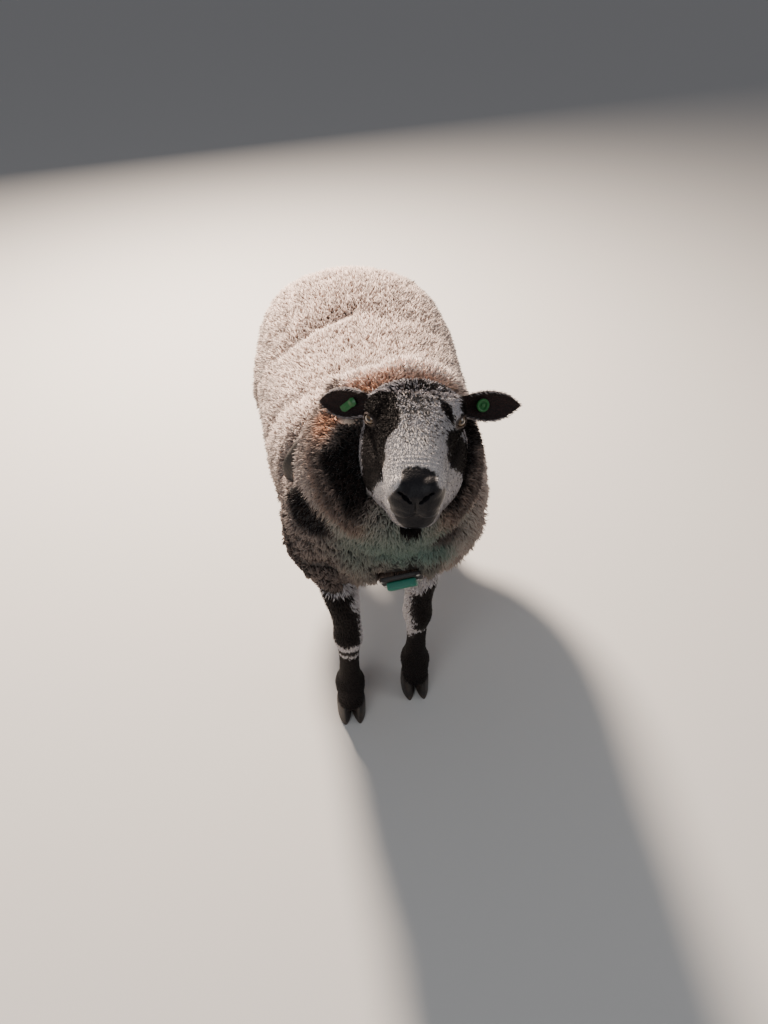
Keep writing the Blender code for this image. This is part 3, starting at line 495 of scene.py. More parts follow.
# %% Relief of the face
def lid_distance(points, side):
    """How many lid openings away a place is: sqrt((a/w)^2 + (u/h)^2) in the eye's directions."""
    local = (points - mirrored(EYE, side)) @ gaze_axes(side)
    up_reach = np.where(local[:, 2] > 0, LID[1] * 1.04, LID[1] * 0.96)
    flat = np.sqrt((local[:, 1] / LID[0]) ** 2 + (local[:, 2] / up_reach) ** 2)
    return np.where(local[:, 0] > 0.002, flat, 9.0), local


FACE_HILLS = (
    (0.0026, (0.05, 0.016, 0.029), (0.018, 0.022, 0.01)),
    (-0.0026, (0.058, -0.026, -0.018), (0.018, 0.02, 0.009)),
    (0.0018, (0.054, -0.044, -0.034), (0.016, 0.04, 0.009)),
    (-0.0022, (0.046, -0.098, 0.0), (0.012, 0.03, 0.01)),
    (-0.0016, (0.044, -0.104, -0.034), (0.012, 0.028, 0.01)),
    (0.0024, (0.0245, -0.154, 0.001), (0.0085, 0.012, 0.0085)),
    (0.0022, (0.02, -0.162, -0.034), (0.013, 0.012, 0.012)),
    (0.002, (0.0, -0.156, -0.07), (0.02, 0.014, 0.01)),
    (-0.0018, (0.0, -0.172, -0.03), (0.0035, 0.01, 0.018)),
    (-0.0014, (0.0, -0.01, 0.036), (0.012, 0.04, 0.01)),
)


def face_relief(points):
    """The sum of hills and hollows, each its height times exp(-r^2), of fine wrinkles over nose
    and lip, and of the lids' rims."""
    half = points.copy()
    half[:, 0] = np.abs(half[:, 0])
    total = hills(half, FACE_HILLS)
    arc = half[:, 1] - 5.0 * half[:, 0] ** 2
    window = hump(arc, -0.126, 0.013) * (half[:, 2] > 0)
    total += 0.00055 * np.sin(2 * np.pi * arc / 0.0072) * window
    crease = half[:, 0] + 0.6 * (half[:, 2] + 0.02)
    window = hill(half, (0.05, -0.08, -0.05), (0.02, 0.03, 0.02))
    total += 0.0006 * np.sin(2 * np.pi * crease / 0.012) * window
    for side in (-1, 1):
        away, local = lid_distance(points, side)
        above = 0.5 + 0.5 * np.tanh(local[:, 2] / 0.004)
        total += 0.0011 * hump(away, 1.1, 0.16)
        total -= (0.001 + 0.0012 * above) * hump(away, 1.55, 0.15)
        total += (0.0004 + 0.0009 * above) * hump(away, 1.95, 0.2)
        tear = ((local[:, 1] * side + 0.0165) / 0.006) ** 2, ((local[:, 2] + 0.0035) / 0.0028) ** 2
        total -= 0.002 * np.exp(-tear[0] - tear[1]) * (local[:, 0] > 0)
    return total


def finer_near(shell, places, reach):
    """The shell with the edges near these places halved."""
    obj = new_piece("finer", *shell)
    bm = bmesh.new()
    bm.from_mesh(obj.data)
    centres = [Vector(place) for place in places]
    edges = [e for e in bm.edges if any((e.verts[0].co - c).length < reach for c in centres)]
    bmesh.ops.subdivide_edges(bm, edges=edges, cuts=1, use_grid_fill=True)
    bmesh.ops.triangulate(bm, faces=bm.faces)
    bm.to_mesh(obj.data)
    bm.free()
    made = arrays_of(obj)
    bpy.data.objects.remove(obj)
    return made


parts = [across_shell(SKULL, 6, 64, 2.3), across_shell(JAW, 6, 56, 2.8)]
for side in (-1, 1):
    parts += [ball(mirrored(place, side), radii) for place, radii in SWELLINGS]
    parts.append(ball(mirrored(EYE, side), (EYE_RADIUS + 0.0026,) * 3))
head = melted(parts, HEAD_CUBE, 4)
head = finer_near(head, [mirrored(EYE, -1), EYE, (0, -0.165, -0.022)], 0.026)
head = (head[0] + corner_normals(*head) * face_relief(head[0])[:, None], head[1])
print("head skin:", len(head[1]), "triangles")

# %% [markdown]
# ## Ears
# A sheep's ear is a leaf of gristle, cupped and facing forward. Two sheets, one for each
# face of the leaf, meet along a thin rim. The base is rolled almost into a tube, so that it
# grows out of the head instead of standing on it.

# %% Ears as cupped leaves
EAR_ROOT = (0.058, 0.042, 0.0)
EAR_WAYS = {1: (0.9, 0.28, -0.16), -1: (-0.8, 0.46, -0.3)}
EAR_FACING = (0.1, -0.85, 0.35)
EAR_LENGTH = 0.125
TAG_REACH = 0.057
EAR = (
    (-0.1, 0.015, 0.015, 0.0), (0.0, 0.0145, 0.015, 0.0), (0.1, 0.015, 0.0155, 0.001),
    (0.21, 0.0178, 0.0165, 0.001), (0.32, 0.0208, 0.0168, 0.001), (0.43, 0.0228, 0.0156, 0.0015),
    (0.54, 0.0232, 0.0132, 0.002), (0.65, 0.0217, 0.0108, 0.003), (0.76, 0.0181, 0.0078, 0.0045),
    (0.86, 0.0118, 0.004, 0.007), (0.94, 0.006, 0.0016, 0.009), (1.0, 0.0011, 0.0005, 0.01),
)


def ear_axes(side):
    """Columns: along the ear, the way its cup faces, and across it."""
    along = np.array(EAR_WAYS[side]) / np.linalg.norm(EAR_WAYS[side])
    facing = mirrored(EAR_FACING, side)
    facing = facing - along * (facing @ along)
    facing /= np.linalg.norm(facing)
    return np.stack([along, facing, np.cross(facing, along)], 1)


def ear_shell(side, columns=22):
    """Along the ear at reach r, across it at t from -1 to 1: the cup lies c (1 - t^2) behind the
    rim, with veins and a rolled edge added, and the back lies a thickness behind the cup."""
    rows = curve_through(EAR, 4)
    along, facing, across = ear_axes(side).T
    t = np.linspace(-1, 1, columns + 1)[None, :, None]
    reach, width, cup, bend = (rows[:, k, None, None] for k in range(4))
    middle = mirrored(EAR_ROOT, side) + along * reach * EAR_LENGTH - facing * bend
    ridge = 0.0007 * np.cos(9 * t + 2 * reach) * (1 - t**2) * np.sin(np.pi * np.clip(reach, 0, 1))
    thick = 0.0011 + 0.0026 * (1 - t**2)
    inner = middle + across * width * t - facing * (cup * (1 - t**2) + ridge)
    outer = middle + across * width * t * 1.05 - facing * (cup * (1 - t**2) + thick)
    return tube(np.concatenate([inner, outer[:, ::-1]], axis=1))


ears = [ear_shell(side) for side in (-1, 1)]
print("ear skin:", sum(len(faces) for _, faces in ears), "triangles")

# %% [markdown]
# ## One skin
# Body, legs, head and ears are joined into one closed surface, the sharp creases where they
# meet are relaxed, and only then are the openings cut: eye sockets, the slit between the
# lids, the commas of the nostrils, the split of the lip and the line of the mouth.

# %% Join and relax
world_head = (from_head(head[0]), head[1])
world_ears = [(from_head(points), faces) for points, faces in ears]
skin = carved(body, legs + [world_head] + world_ears, "UNION")


def crease_weight(points, faces):
    """1 where the triangles round a corner point different ways: their mean normal is short."""
    normals = unit(cross_of(points, faces), 1e-15)
    held = np.maximum(np.bincount(faces.ravel(), minlength=len(points)), 1)
    mean = np.stack([np.bincount(faces.ravel(), np.repeat(normals[:, k], 3), len(points)) for k in range(3)], 1)
    return (np.linalg.norm(mean / held[:, None], axis=1) < 0.93).astype(float)


def grown(weight, faces, rounds):
    """The weight spread to the corners of every triangle that it touches."""
    for _ in range(rounds):
        most = weight[faces].max(1)
        weight = weight.copy()
        np.maximum.at(weight, faces.ravel(), np.repeat(most, 3))
    return weight


local = to_head(skin[0])
on_leaf = np.zeros(len(local), bool)
for side in (-1, 1):
    reach = (local - mirrored(EAR_ROOT, side)) @ ear_axes(side)
    on_leaf |= (reach[:, 0] > 0.016) & (np.abs(reach[:, 1:]) < 0.05).all(1)
weight = np.where(on_leaf, 0, crease_weight(*skin))
skin = (relaxed(skin[0], skin[1], grown(weight, skin[1], 3), 14), skin[1])
print("joined skin:", len(skin[1]), "triangles,", int(weight.sum()), "corners relaxed")

# %% Cut the openings
MOUTH = mm(
    (48, -88, -47), (45.5, -115, -49), (40, -140, -51.5), (29, -158, -53), (13, -170.5, -53.5),
    (0, -173, -53.5),
)
NOSTRILS = (
    ((0.0085, -0.172, -0.0165), (0.003, 0.008, 0.005), 48),
    ((0.014, -0.17, -0.0105), (0.0038, 0.011, 0.007), 48),
    ((0.0205, -0.161, -0.004), (0.0032, 0.011, 0.0065), 64),
)


def turned(angle, axis):
    """The matrix of a turn by so many degrees round an axis."""
    return np.array(Matrix.Rotation(math.radians(angle), 3, axis))


def slit_shell(places, half_height, half_depth, count=20):
    """A flat band along a path: an oval half_depth deep and half_height high at each place,
    which narrows to nothing at both ends."""
    path = curve_through(places, 4)
    out = unit(np.cross(unit(np.gradient(path, axis=0)), Z))
    taper = np.sin(np.pi * np.linspace(0.03, 0.97, len(path))) ** 0.35
    high = half_height * taper
    return tube(oval_rings(path, out, Z, half_depth * taper, high, high, 2.0, count))


cuts = [slit_shell(np.vstack([MOUTH, mirrored(MOUTH[-2::-1], -1)]), 0.0009, 0.009)]
cuts.append(ball((0, -0.1745, -0.03), (0.0008, 0.0065, 0.017)))
for side in (-1, 1):
    axes = gaze_axes(side)
    eye = mirrored(EYE, side)
    cuts.append(ball(eye + axes[:, 0] * (EYE_RADIUS + 0.002), (0.012, LID[0], LID[1]), 24, 40, axes))
    cuts.append(ball(eye, (EYE_RADIUS + 0.0003,) * 3, 28, 40))
    cuts += [ball(mirrored(p, side), r, 14, 20, turned(t * side, "Y")) for p, r, t in NOSTRILS]
skin = carved(skin, [(from_head(points), faces) for points, faces in cuts], "DIFFERENCE")
skin_points, skin_faces = skin[0] + SHIFT, skin[1]
skin_normals = corner_normals(skin_points, skin_faces)
print("skin:", len(skin_faces), "triangles")

# %% [markdown]
# ## Markings
# The ram is white with dark patches: a black side to the face, a white blaze peppered with
# dark hairs, a black muzzle, a brown and rust ring inside the ruff, and banded legs. Skin
# and wool must agree, so one set of functions answers for both, from the place alone. Each
# gives a share from 0 to 1 for dark, rust, green paint and shade.

# %% Where the coat is dark, rusty or painted
def step_up(value, edge, soft):
    """0 below the edge and 1 above it, passing over smoothly: 1 / (1 + exp(-(v - edge) / soft))."""
    return 1 / (1 + np.exp(-np.clip((value - edge) / soft, -30, 30)))


def step_down(value, edge, soft):
    """1 below the edge and 0 above it, passing over as smoothly."""
    return step_up(edge - value, 0, soft)


def largest(*shares):
    """At each point the largest of the shares."""
    return np.maximum.reduce(shares)


def ragged(points, size, seed):
    """Waves that never quite repeat: a mean of sines along five fixed slanting directions."""
    rng = np.random.default_rng(seed)
    ways = unit(rng.normal(size=(5, 3)))
    phases = rng.random(5) * 2 * np.pi
    return np.sin(points @ ways.T * (2 * np.pi / size) * (0.7 + 0.15 * np.arange(5)) + phases).mean(1)


def rags(points, *waves):
    """The sum of such waves, each with a height, a size and a seed."""
    return sum(height * ragged(points, size, seed) for height, size, seed in waves)


def patch(points, place, reach, soft=0.12):
    """1 inside an egg with these reaches and 0 outside it, its border wandering."""
    away = np.sqrt((((points - np.asarray(place)) / np.asarray(reach)) ** 2).sum(1))
    return step_up(1 - away + 0.16 * ragged(points, 0.05, 3) + 0.08 * ragged(points, 0.018, 5), 0, soft)


RUFF_MIDDLE = (-0.02, 0, -0.07)
NAPE_HEIGHT = 0.745


def body_marks(points):
    """Shares of dark, rust, green and shade over trunk, neck and tail. The ruff's colours lie in
    rings about the face, by the distance r and the angle below level in the head's frame."""
    x, y, z = points.T
    u, depth, v = (to_head(points - SHIFT) - RUFF_MIDDLE).T
    wave = rags(points, (0.01, 0.045, 3), (0.004, 0.014, 5))
    r = np.hypot(u, v) + wave
    angle = np.degrees(np.arctan2(-v, np.abs(u))) + 400 * wave
    front = step_down(depth, 0.15, 0.008)
    low_angle = np.where(u < 0, 60.0, 54.0)
    dark = step_down(r, 0.127, 0.003) * step_down(angle, low_angle, 3.0) * step_up(angle, -22, 4.0) * front
    outer = np.interp(angle, (0, 30, 60), (0.146, 0.15, 0.151)) + 0.012 * (u > 0) * step_up(angle, 30, 8)
    rust = step_up(r, 0.121, 0.004) * step_down(r, outer, 0.004) * step_down(angle, low_angle + 4, 3.0)
    rust = 0.85 * rust * step_up(angle, -26, 4.0) * front
    beside_ear = patch(points, (-0.088, -0.308, 0.77), (0.03, 0.034, 0.024), 0.14)
    top = step_up(z, NAPE_HEIGHT, 0.006) * step_down(np.abs(x - 0.03 + wave), 0.088, 0.004)
    behind = top * step_up(y, -0.3, 0.003)
    dark = np.maximum(dark, 1.02 * rust) * (1 - 0.9 * beside_ear) * (1 - behind)
    rust = rust * (1 - behind)
    band = top * step_down(np.abs(y + 0.272 + 0.2 * wave), 0.015, 0.0015)
    deep = hump(y, -0.28, 0.006) * step_down(x, 0.045, 0.01)
    rust = largest(rust, (0.5 + 0.35 * deep) * band, 0.9 * beside_ear)
    streak = patch(points, (0.1, -0.385, 0.59), (0.03, 0.05, 0.03))
    shoulder = patch(points, (-0.132, -0.33, 0.612), (0.05, 0.062, 0.041), 0.08)
    elbow = step_down(z, 0.425, 0.006) * step_down(y, -0.24, 0.01) * step_down(np.abs(x), 0.13, 0.006)
    dark = largest(dark, elbow * (x < -0.071), 0.8 * streak, shoulder)
    green = patch(points, (0.025, -0.4, 0.6), (0.11, 0.085, 0.1), 0.25)
    green = np.maximum(0.9 * green, patch(points, (0.045, -0.38, 0.555), (0.08, 0.075, 0.05), 0.2))
    # The shade share is partly dust and partly painted shade: the low front of the chest is painted darker
    # where the head shades it, less on the left side, and the belly is darker low down.
    low_front_dust_and_shade = step_up(0.61 - z - 0.25 * (y + 0.2), 0, 0.03) * step_down(y, -0.1, 0.05)
    low_front_dust_and_shade = low_front_dust_and_shade * np.where(x > 0.1, 0.55, 1.0)
    # Painted shade: the ruff's outer ring on its right side, and the wool under the jaw.
    ring = step_up(r, 0.148, 0.004) * step_down(r, 0.19, 0.01) * step_up(angle, -14, 10) * front * (u < 0)
    inner = step_down(r, 0.15, 0.01) * step_up(angle, 50, 6) * front
    shade = largest(low_front_dust_and_shade, 0.75 * ring, 0.4 * step_down(z, 0.47, 0.03), 0.8 * inner)
    shade = shade * (1 - behind)
    return np.stack([dark, rust * (1 - dark), green * (1 - dark), shade], 1)


def under_jaw(y):
    """The height of the jaw's lower edge in the head's frame, from the place along it."""
    return np.interp(y, (-0.152, -0.105, -0.07, -0.03, 0.02, 0.06),
                     (-0.078, -0.098, -0.114, -0.129, -0.136, -0.132))


def chin_tuft(x, y, z, middle):
    """1 at the tuft under the chin, and less around it as exp(-r^2)."""
    return np.exp(-(((x + 0.004) / 0.014) ** 2) - ((y - middle) / 0.013) ** 2) * (z < -0.08)


def on_leaf_of(local, side):
    """How far along an ear a place in the head's frame is, and what share of the way to its rim."""
    along, _, across = ((local - mirrored(EAR_ROOT, side)) @ ear_axes(side)).T
    shares, half_widths = np.array(EAR)[:, :2].T
    return along, np.abs(across) / np.interp(along / EAR_LENGTH, shares, half_widths)


def face_marks(points):
    """The same four shares over the head and ears; on the blaze, dark is the share of dark hairs."""
    local = to_head(points - SHIFT)
    x, y, z = local.T
    wobble = rags(points, (0.002, 0.02, 8), (0.0011, 0.007, 9))
    edge = np.interp(y, (-0.107, -0.096, -0.073, -0.067, -0.06, -0.045, -0.013, 0.004, 0.06, 0.1),
                     (-0.047, -0.0435, -0.041, -0.036, -0.0275, -0.0225, -0.0235, -0.028, -0.032, -0.04))
    front = np.where(z < -0.012, -0.107 + (-0.012 - z) * 0.5, -0.107 + (z + 0.012) * 0.6)
    right = step_up(edge - x + wobble, 0, 0.001) * step_up(y - front + wobble, 0, 0.0016)
    right = right * (1 - step_up(y, 0.036, 0.002) * step_up(z, -0.01, 0.004))
    edge = np.interp(y, (-0.097, -0.09, -0.083, -0.066, -0.051, -0.042, -0.03, -0.022, 0.0),
                     (0.049, 0.046, 0.0435, 0.0445, 0.0445, 0.05, 0.056, 0.06, 0.065))
    front = np.where(z < 0, -0.098 + (-z) * 0.8, -0.098 + z * 0.4)
    left = step_up(x - edge + wobble, 0, 0.001) * step_up(y - front + wobble, 0, 0.0016)
    tall = (x - 0.0455) * -0.34 + (y + 0.011) * 0.94
    wide = (x - 0.0455) * 0.94 + (y + 0.011) * 0.34
    spot = step_up(1 - np.hypot(tall / 0.02, wide / 0.0088) + 60 * wobble, 0, 0.1) * (z > 0)
    pale = step_up(1 - np.hypot((wide - 0.0145) / 0.007, (tall - 0.004) / 0.02), 0, 0.15) * (z > 0)
    pale = np.maximum(pale, np.exp(-(((y - 0.01) / 0.009) ** 2) - ((z + 0.03) / 0.008) ** 2) * (x > 0))
    nose = muzzle_share(points)
    middle = hump(x, 0, 0.034)
    pepper = np.interp(y, (-0.13, -0.1, -0.06, -0.02, 0.015), (0.03, 0.12, 0.3, 0.52, 0.66))
    pepper = pepper * (0.45 + 0.55 * middle) * (1 - pale)
    crest = np.exp(-(((y - 0.0265 + 0.6 * wobble) / 0.0045) ** 2)) * (z > -0.005)
    poll = step_up(y, 0.034, 0.0015) * step_up(x, -0.04, 0.002) * step_down(x, 0.062, 0.003)
    poll = poll * (0.66 - 0.6 * step_up(y, 0.096, 0.003))
    pepper = np.maximum(pepper * (1 - 0.92 * crest), poll)
    tuft = chin_tuft(x, y, z, -0.128)
    dark = largest(right, left * (1 - pale), spot, pepper, nose, step_up(tuft, 0.12, 0.02))
    jaw = step_down(z, under_jaw(y) + 0.024, 0.002)
    behind_cheek = step_down(x, -0.08, 0.001) * step_down(z, -0.03, 0.006) * step_down(y, 0.05, 0.006)
    jaw = np.maximum(jaw, behind_cheek)
    jaw = jaw * (1 - nose) * (1 - step_up(tuft, 0.08, 0.02))
    dark = dark * (1 - 0.75 * jaw)
    on_ear = (np.abs(x) > 0.072 - 0.2 * np.minimum(0, y)) & (y > 0.022) & (z > -0.075)
    # Paler along each ear's rim: a painted highlight where the low sun catches the fringe.
    painted_rim_light = np.zeros(len(points))
    for side in (-1, 1):
        along, to_rim = on_leaf_of(local, side)
        beyond = np.maximum(to_rim, along / EAR_LENGTH / 1.01)
        painted_rim_light = np.where((np.sign(x) == side) & (along > 0.018), step_up(beyond, 0.972, 0.006), painted_rim_light)
    dark = np.where(on_ear, 0.97 - 0.7 * painted_rim_light, dark)
    rust = np.where(on_ear, 0.12, 0.1 * (1 - dark) * (y > 0.02))
    return np.stack([dark, rust, 0 * dark, 0.45 * jaw], 1)


def muzzle_share(points):
    """1 on the bare black leather: a narrow pad above, the whole width of the lips below. The
    half width follows the height, and the front edge lies a fixed way back from the nose."""
    x, y, z = to_head(points - SHIFT).T
    wobble = rags(points, (0.0014, 0.016, 12), (0.0007, 0.006, 13))
    half = np.interp(
        z,
        (-0.084, -0.076, -0.067, -0.058, -0.045, -0.035, -0.02, -0.012, -0.001, 0.004, 0.012, 0.017, 0.02),
        (0.0, 0.016, 0.025, 0.031, 0.037, 0.041, 0.0395, 0.037, 0.031, 0.0265, 0.0225, 0.018, 0.012))
    back = np.interp(z, (-0.08, -0.045, -0.01, 0.01), (-0.132, -0.128, -0.134, -0.1365))
    back = back - 5.0 * np.abs(x - 0.002) ** 2 * (z > -0.002) + 0.0012 * np.sin(x * 520 + 0.8) * (z > -0.002)
    return step_up(np.minimum(half - np.abs(x - 0.003), back - y) + wobble, 0, 0.0008)


def leg_marks(points):
    """Bands up each leg by height, with a pale stripe down the inner side of the forelegs."""
    x, y, z = points.T
    left, hind = x > 0, y > 0.05
    z = z + 0.005 * ragged(points, 0.03, 21) + 0.002 * ragged(points, 0.01, 22)
    inner = np.where(left, 0.076 - x, x + 0.076)
    top = np.where(hind, 0.33, np.where(left, 0.335 + 0.6 * (x - 0.055), 0.408))
    half_ring = np.where(left, 0.006 + 0.35 * inner, 0.0115)
    ring = step_down(np.abs(z - np.where(left, 0.222, 0.249)), half_ring, 0.0015)
    second = (~left & ~hind) * step_down(np.abs(z - 0.213), 0.0055, 0.0015)
    reach = np.interp(z, (0.2, 0.24, 0.3), (0.014, 0.012, 0.0175))
    reach = np.where(left, reach, 0.006 + 0.35 * np.maximum(0, 0.372 - z))
    stripe = step_up(inner - reach, 0, 0.002) * step_up(z, np.where(left, 0.195, 0.342), 0.003) * ~hind
    thin = step_up(inner, 0.0215, 0.0012) * step_up(z, np.where(left, 0.18, 0.205), 0.004) * ~hind
    dark = step_down(z, top, 0.003) * (1 - largest(ring, second, stripe, thin))
    return np.stack([dark, 0 * dark, 0 * dark, 0.15 * step_up(z, top, 0.01)], 1)


# %% [markdown]
# ## Which part of the animal is which
# The joined skin has lost its names. Head, ears and bare legs are found again by measuring
# how far each corner lies from the shells that they came from, and the marks follow.

# %% Parts, marks and masks of the skin
def distance_to(shell, points, most):
    """How far each point lies from a shell, or most where it is further away."""
    tree = BVHTree.FromPolygons(shell[0].tolist(), shell[1].tolist())
    found = [tree.find_nearest(Vector(p), most)[3] for p in points]
    return np.array([most if d is None else d for d in found])


ON_BODY, ON_HEAD, ON_EAR, ON_LEG = range(4)


def part_of(points):
    """The number of body, head, ear or bare leg, whichever shell is nearest."""
    place = points - SHIFT
    near_head = np.linalg.norm(to_head(place) - (0, 0, -0.03), axis=1) < 0.26
    low, anywhere = place[:, 2] < 0.45, np.full(len(points), True)
    best, part = np.full(len(points), 0.015), np.full(len(points), ON_BODY)
    for number, shell, ask in (
        (ON_BODY, body, anywhere), (ON_HEAD, world_head, near_head),
        (ON_EAR, together(world_ears), near_head), (ON_LEG, together(legs), low),
    ):
        away = np.full(len(points), 1.0)
        away[ask] = distance_to(shell, place[ask], 0.016)
        nearer = away < best
        part[nearer], best[nearer] = number, away[nearer]
    local = to_head(place)
    deep = (local[:, 1] < 0.03) & (local[:, 2] > -0.128) & (np.abs(local[:, 0]) < 0.07)
    part[deep & (part == ON_BODY)] = ON_HEAD
    return part


def marks_of(points, part):
    """The four shares, from the function that belongs to each part."""
    made = body_marks(points)
    for numbers, marks in (((ON_HEAD, ON_EAR), face_marks), ((ON_LEG,), leg_marks)):
        here = np.isin(part, numbers)
        made[here] = marks(points[here])
    return made


skin_part = part_of(skin_points)
opening = (skin_part == ON_HEAD) & (distance_to(world_head, skin_points - SHIFT, 0.01) > 0.0016)
skin_marks = marks_of(skin_points, skin_part)
masks = np.zeros((len(skin_points), 4))
masks[:, 0] = muzzle_share(skin_points) * (skin_part == ON_HEAD)
local = to_head(skin_points - SHIFT)
for side in (-1, 1):
    away, seen_from = lid_distance(local, side)
    lid = step_down(away, 1.36, 0.06) * (skin_part != ON_BODY)
    lower_rim = step_down(away, 1.18, 0.05) * step_down(seen_from[:, 2], -0.0005, 0.0008)
    ear = (local - mirrored(EAR_ROOT, side)) @ ear_axes(side)
    inside = (skin_normals @ HEAD[:3, :3] @ ear_axes(side))[:, 1] > 0
    cup = inside & (skin_part == ON_EAR) & (ear[:, 0] > 0)
    masks[:, 1:] = np.maximum(masks[:, 1:], np.stack([lid, cup, lower_rim], 1))
print("corners of body, head, ears, legs:", np.bincount(skin_part))


def paint(obj, name, values):
    """Keeps four values at each corner of the mesh under this name, for the materials."""
    layer = obj.data.attributes.new(name, "FLOAT_COLOR", "POINT")
    layer.data.foreach_set("color", np.ascontiguousarray(values, np.float32).ravel())


skin_piece = new_piece("ram_skin", skin_points, skin_faces)
paint(skin_piece, "marks", skin_marks)
paint(skin_piece, "masks", masks)
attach(skin_piece, "root")
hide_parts("torso", "neck", "tail", "head", "ear_left", "ear_right", "foreleg_left",
            "foreleg_right", "hindleg_left", "hindleg_right", "scrotum")

# %% [markdown]
# ## Locks of wool
# A fleece is made of staples: bundles of crimped fibre that stand close together and part
# at their tips. Each one here is a thin tapered tube of three sides, widest below its tip,
# leaning with the lie of the coat. Hair curves would be lighter but would be lost in the
# library's format, so every lock is mesh.

# %% Planting and shaping locks
CUBE_STEPS = np.array((1, 40009, 1600000009))


def one_in_each_cube(points, size):
    """The number of the first point in each cube of a grid, where a cube is told by one whole
    number: its three steps times CUBE_STEPS, added up."""
    cubes = np.floor(points / size).astype(np.int64)
    return np.unique(cubes @ CUBE_STEPS, return_index=True)[1]


def plant(points, faces, normals, spacing, seed, wanted):
    """Roots spread over the wanted triangles: places drawn by area, then one kept in each cube
    of a grid, so that no two crowd together and no spot stays bare."""
    rng = np.random.default_rng(seed)
    faces = faces[wanted]
    area = np.linalg.norm(cross_of(points, faces), axis=1) / 2
    count = int(area.sum() / spacing**2 * 4)
    picks = rng.choice(len(faces), count, p=area / area.sum())
    mix = rng.random((count, 2))
    mix = np.where(mix.sum(1, keepdims=True) > 1, 1 - mix, mix)
    share = np.concatenate([1 - mix.sum(1, keepdims=True), mix], 1)[..., None]
    corners = faces[picks]
    roots = (points[corners] * share).sum(1)
    leans = (normals[corners] * share).sum(1)
    first = rng.permutation(one_in_each_cube(roots, spacing * 1.18))
    return roots[first], unit(leans[first], 1e-9)


FINE_STAPLES, BROAD_STAPLES, FUR_CLUMPS = (0.0078, 0.54, 0.0018), (0.015, 0.44, 0.0032), (0.006, 0.55, 0.0006)


def clumped(roots, size, share, stray, seed):
    """Pulls each lock's tip a share of the way to the middle of its clump, and lets whole
    clumps stray by a little, so that locks gather into staples. Gives a chance per clump too."""
    rng = np.random.default_rng(seed)
    first = one_in_each_cube(roots, size)
    middles = roots[first] + rng.normal(0, size * 0.15, (len(first), 3))
    tree = KDTree(len(middles))
    for number, middle in enumerate(middles):
        tree.insert(middle, number)
    tree.balance()
    owner = np.array([tree.find(root)[1] for root in roots])
    strays = rng.normal(0, stray, (len(middles), 3))
    return (middles[owner] - roots) * share + strays[owner], rng.random(len(middles))[owner]


WOOL = ((-0.05, 0.7), (0.6, 1.0))


def locks(roots, normals, height, lie, bend, width, seed, pull, tone, rings=WOOL, curl=0.16):
    """Each lock's middle runs along root + h (n t + lie bend t^2 + curl sideways sin(5 t + p))
    + pull t^2, and its ring at t is three points at width times a share, turned by an angle
    of its own. Gives points, triangles, height up the lock and the lock's own chance."""
    rng = np.random.default_rng(seed)
    n = len(roots)
    flat = unit(lie - normals * (lie * normals).sum(1, keepdims=True), 1e-6)
    side = np.cross(normals, flat)
    jitter = rng.normal(0, 0.22, (n, 2))
    flat_way = flat * (bend[:, None] + jitter[:, :1]) + side * jitter[:, 1:]
    turn = rng.random(n) * 2 * np.pi
    phase = rng.random(n) * 2 * np.pi
    levels = np.array([t for t, _ in rings] + [1.0])[None, :, None]
    swing = np.sin(5 * levels + phase[:, None, None]) * np.clip(levels, 0, 1)
    middle = roots[:, None] + height[:, None, None] * (
        normals[:, None] * levels + flat_way[:, None] * levels**2 + side[:, None] * swing * curl)
    middle = middle + pull[:, None] * np.clip(levels, 0, 1) ** 2
    angle = turn[:, None] + 2 * np.pi * np.arange(3) / 3
    spokes = flat[:, None] * np.cos(angle)[..., None] + side[:, None] * np.sin(angle)[..., None]
    shares = np.array([w for _, w in rings])
    ringed = middle[:, :-1, None] + spokes[:, None] * (width[:, None] * shares)[..., None, None]
    points = np.concatenate([ringed.reshape(n, -1, 3), middle[:, -1:]], axis=1)
    faces = []
    for level in range(len(rings) - 1):
        for k in range(3):
            a, b = level * 3 + k, level * 3 + (k + 1) % 3
            faces += [(a, b, b + 3), (a, b + 3, a + 3)]
    last = (len(rings) - 1) * 3
    faces += [(last + k, last + (k + 1) % 3, last + 3) for k in range(3)]
    per = points.shape[1]
    all_faces = (np.arange(n)[:, None, None] * per + np.array(faces)[None]).reshape(-1, 3)
    along = np.concatenate([np.repeat([t for t, _ in rings], 3), [1.0]])
    chance = np.modf(tone + 0.3 * rng.random(n))[0]
    return points.reshape(-1, 3), all_faces, np.tile(np.clip(along, 0, 1), n), np.repeat(chance, per)


def coat_piece(name, roots, made, marks, unwrapped, dither):
    """The locks as one piece, with their marks, and a map in which each lock is a patch 0.003
    across at its root's place on the unwrapped skin. Where dither is on, a lock of the blaze
    is wholly dark or wholly pale by chance."""
    points, faces, along, chance = made
    per = len(points) // len(roots)
    piece = new_piece(name, points, faces)
    marks = np.repeat(marks, per, axis=0)
    if dither:
        marks[:, 0] = np.where(chance < marks[:, 0], 0.9 + 0.1 * marks[:, 0], 0.0)
        chance = np.modf(chance * 7.3)[0]
    paint(piece, "marks", marks)
    paint(piece, "lock", np.stack([along, chance, 0 * along, 0 * along], 1))
    corner = np.arange(per)
    spiral = 0.0015 * np.stack([np.cos(2.4 * corner), np.sin(2.4 * corner)], 1)
    spiral = spiral * (0.4 + 0.6 * corner / per)[:, None]
    spots = (unwrapped[:, None] + spiral[None]).reshape(-1, 2)
    spots = 0.004 + 0.992 * np.clip(spots, 0, 1)
    layer = piece.data.uv_layers.new(name="OFBake")
    layer.data.foreach_set("uv", spots[faces.ravel()].astype(np.float32).ravel())
    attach(piece, "root")
    print(name + ":", len(roots), "locks,", len(faces), "triangles")
    return piece


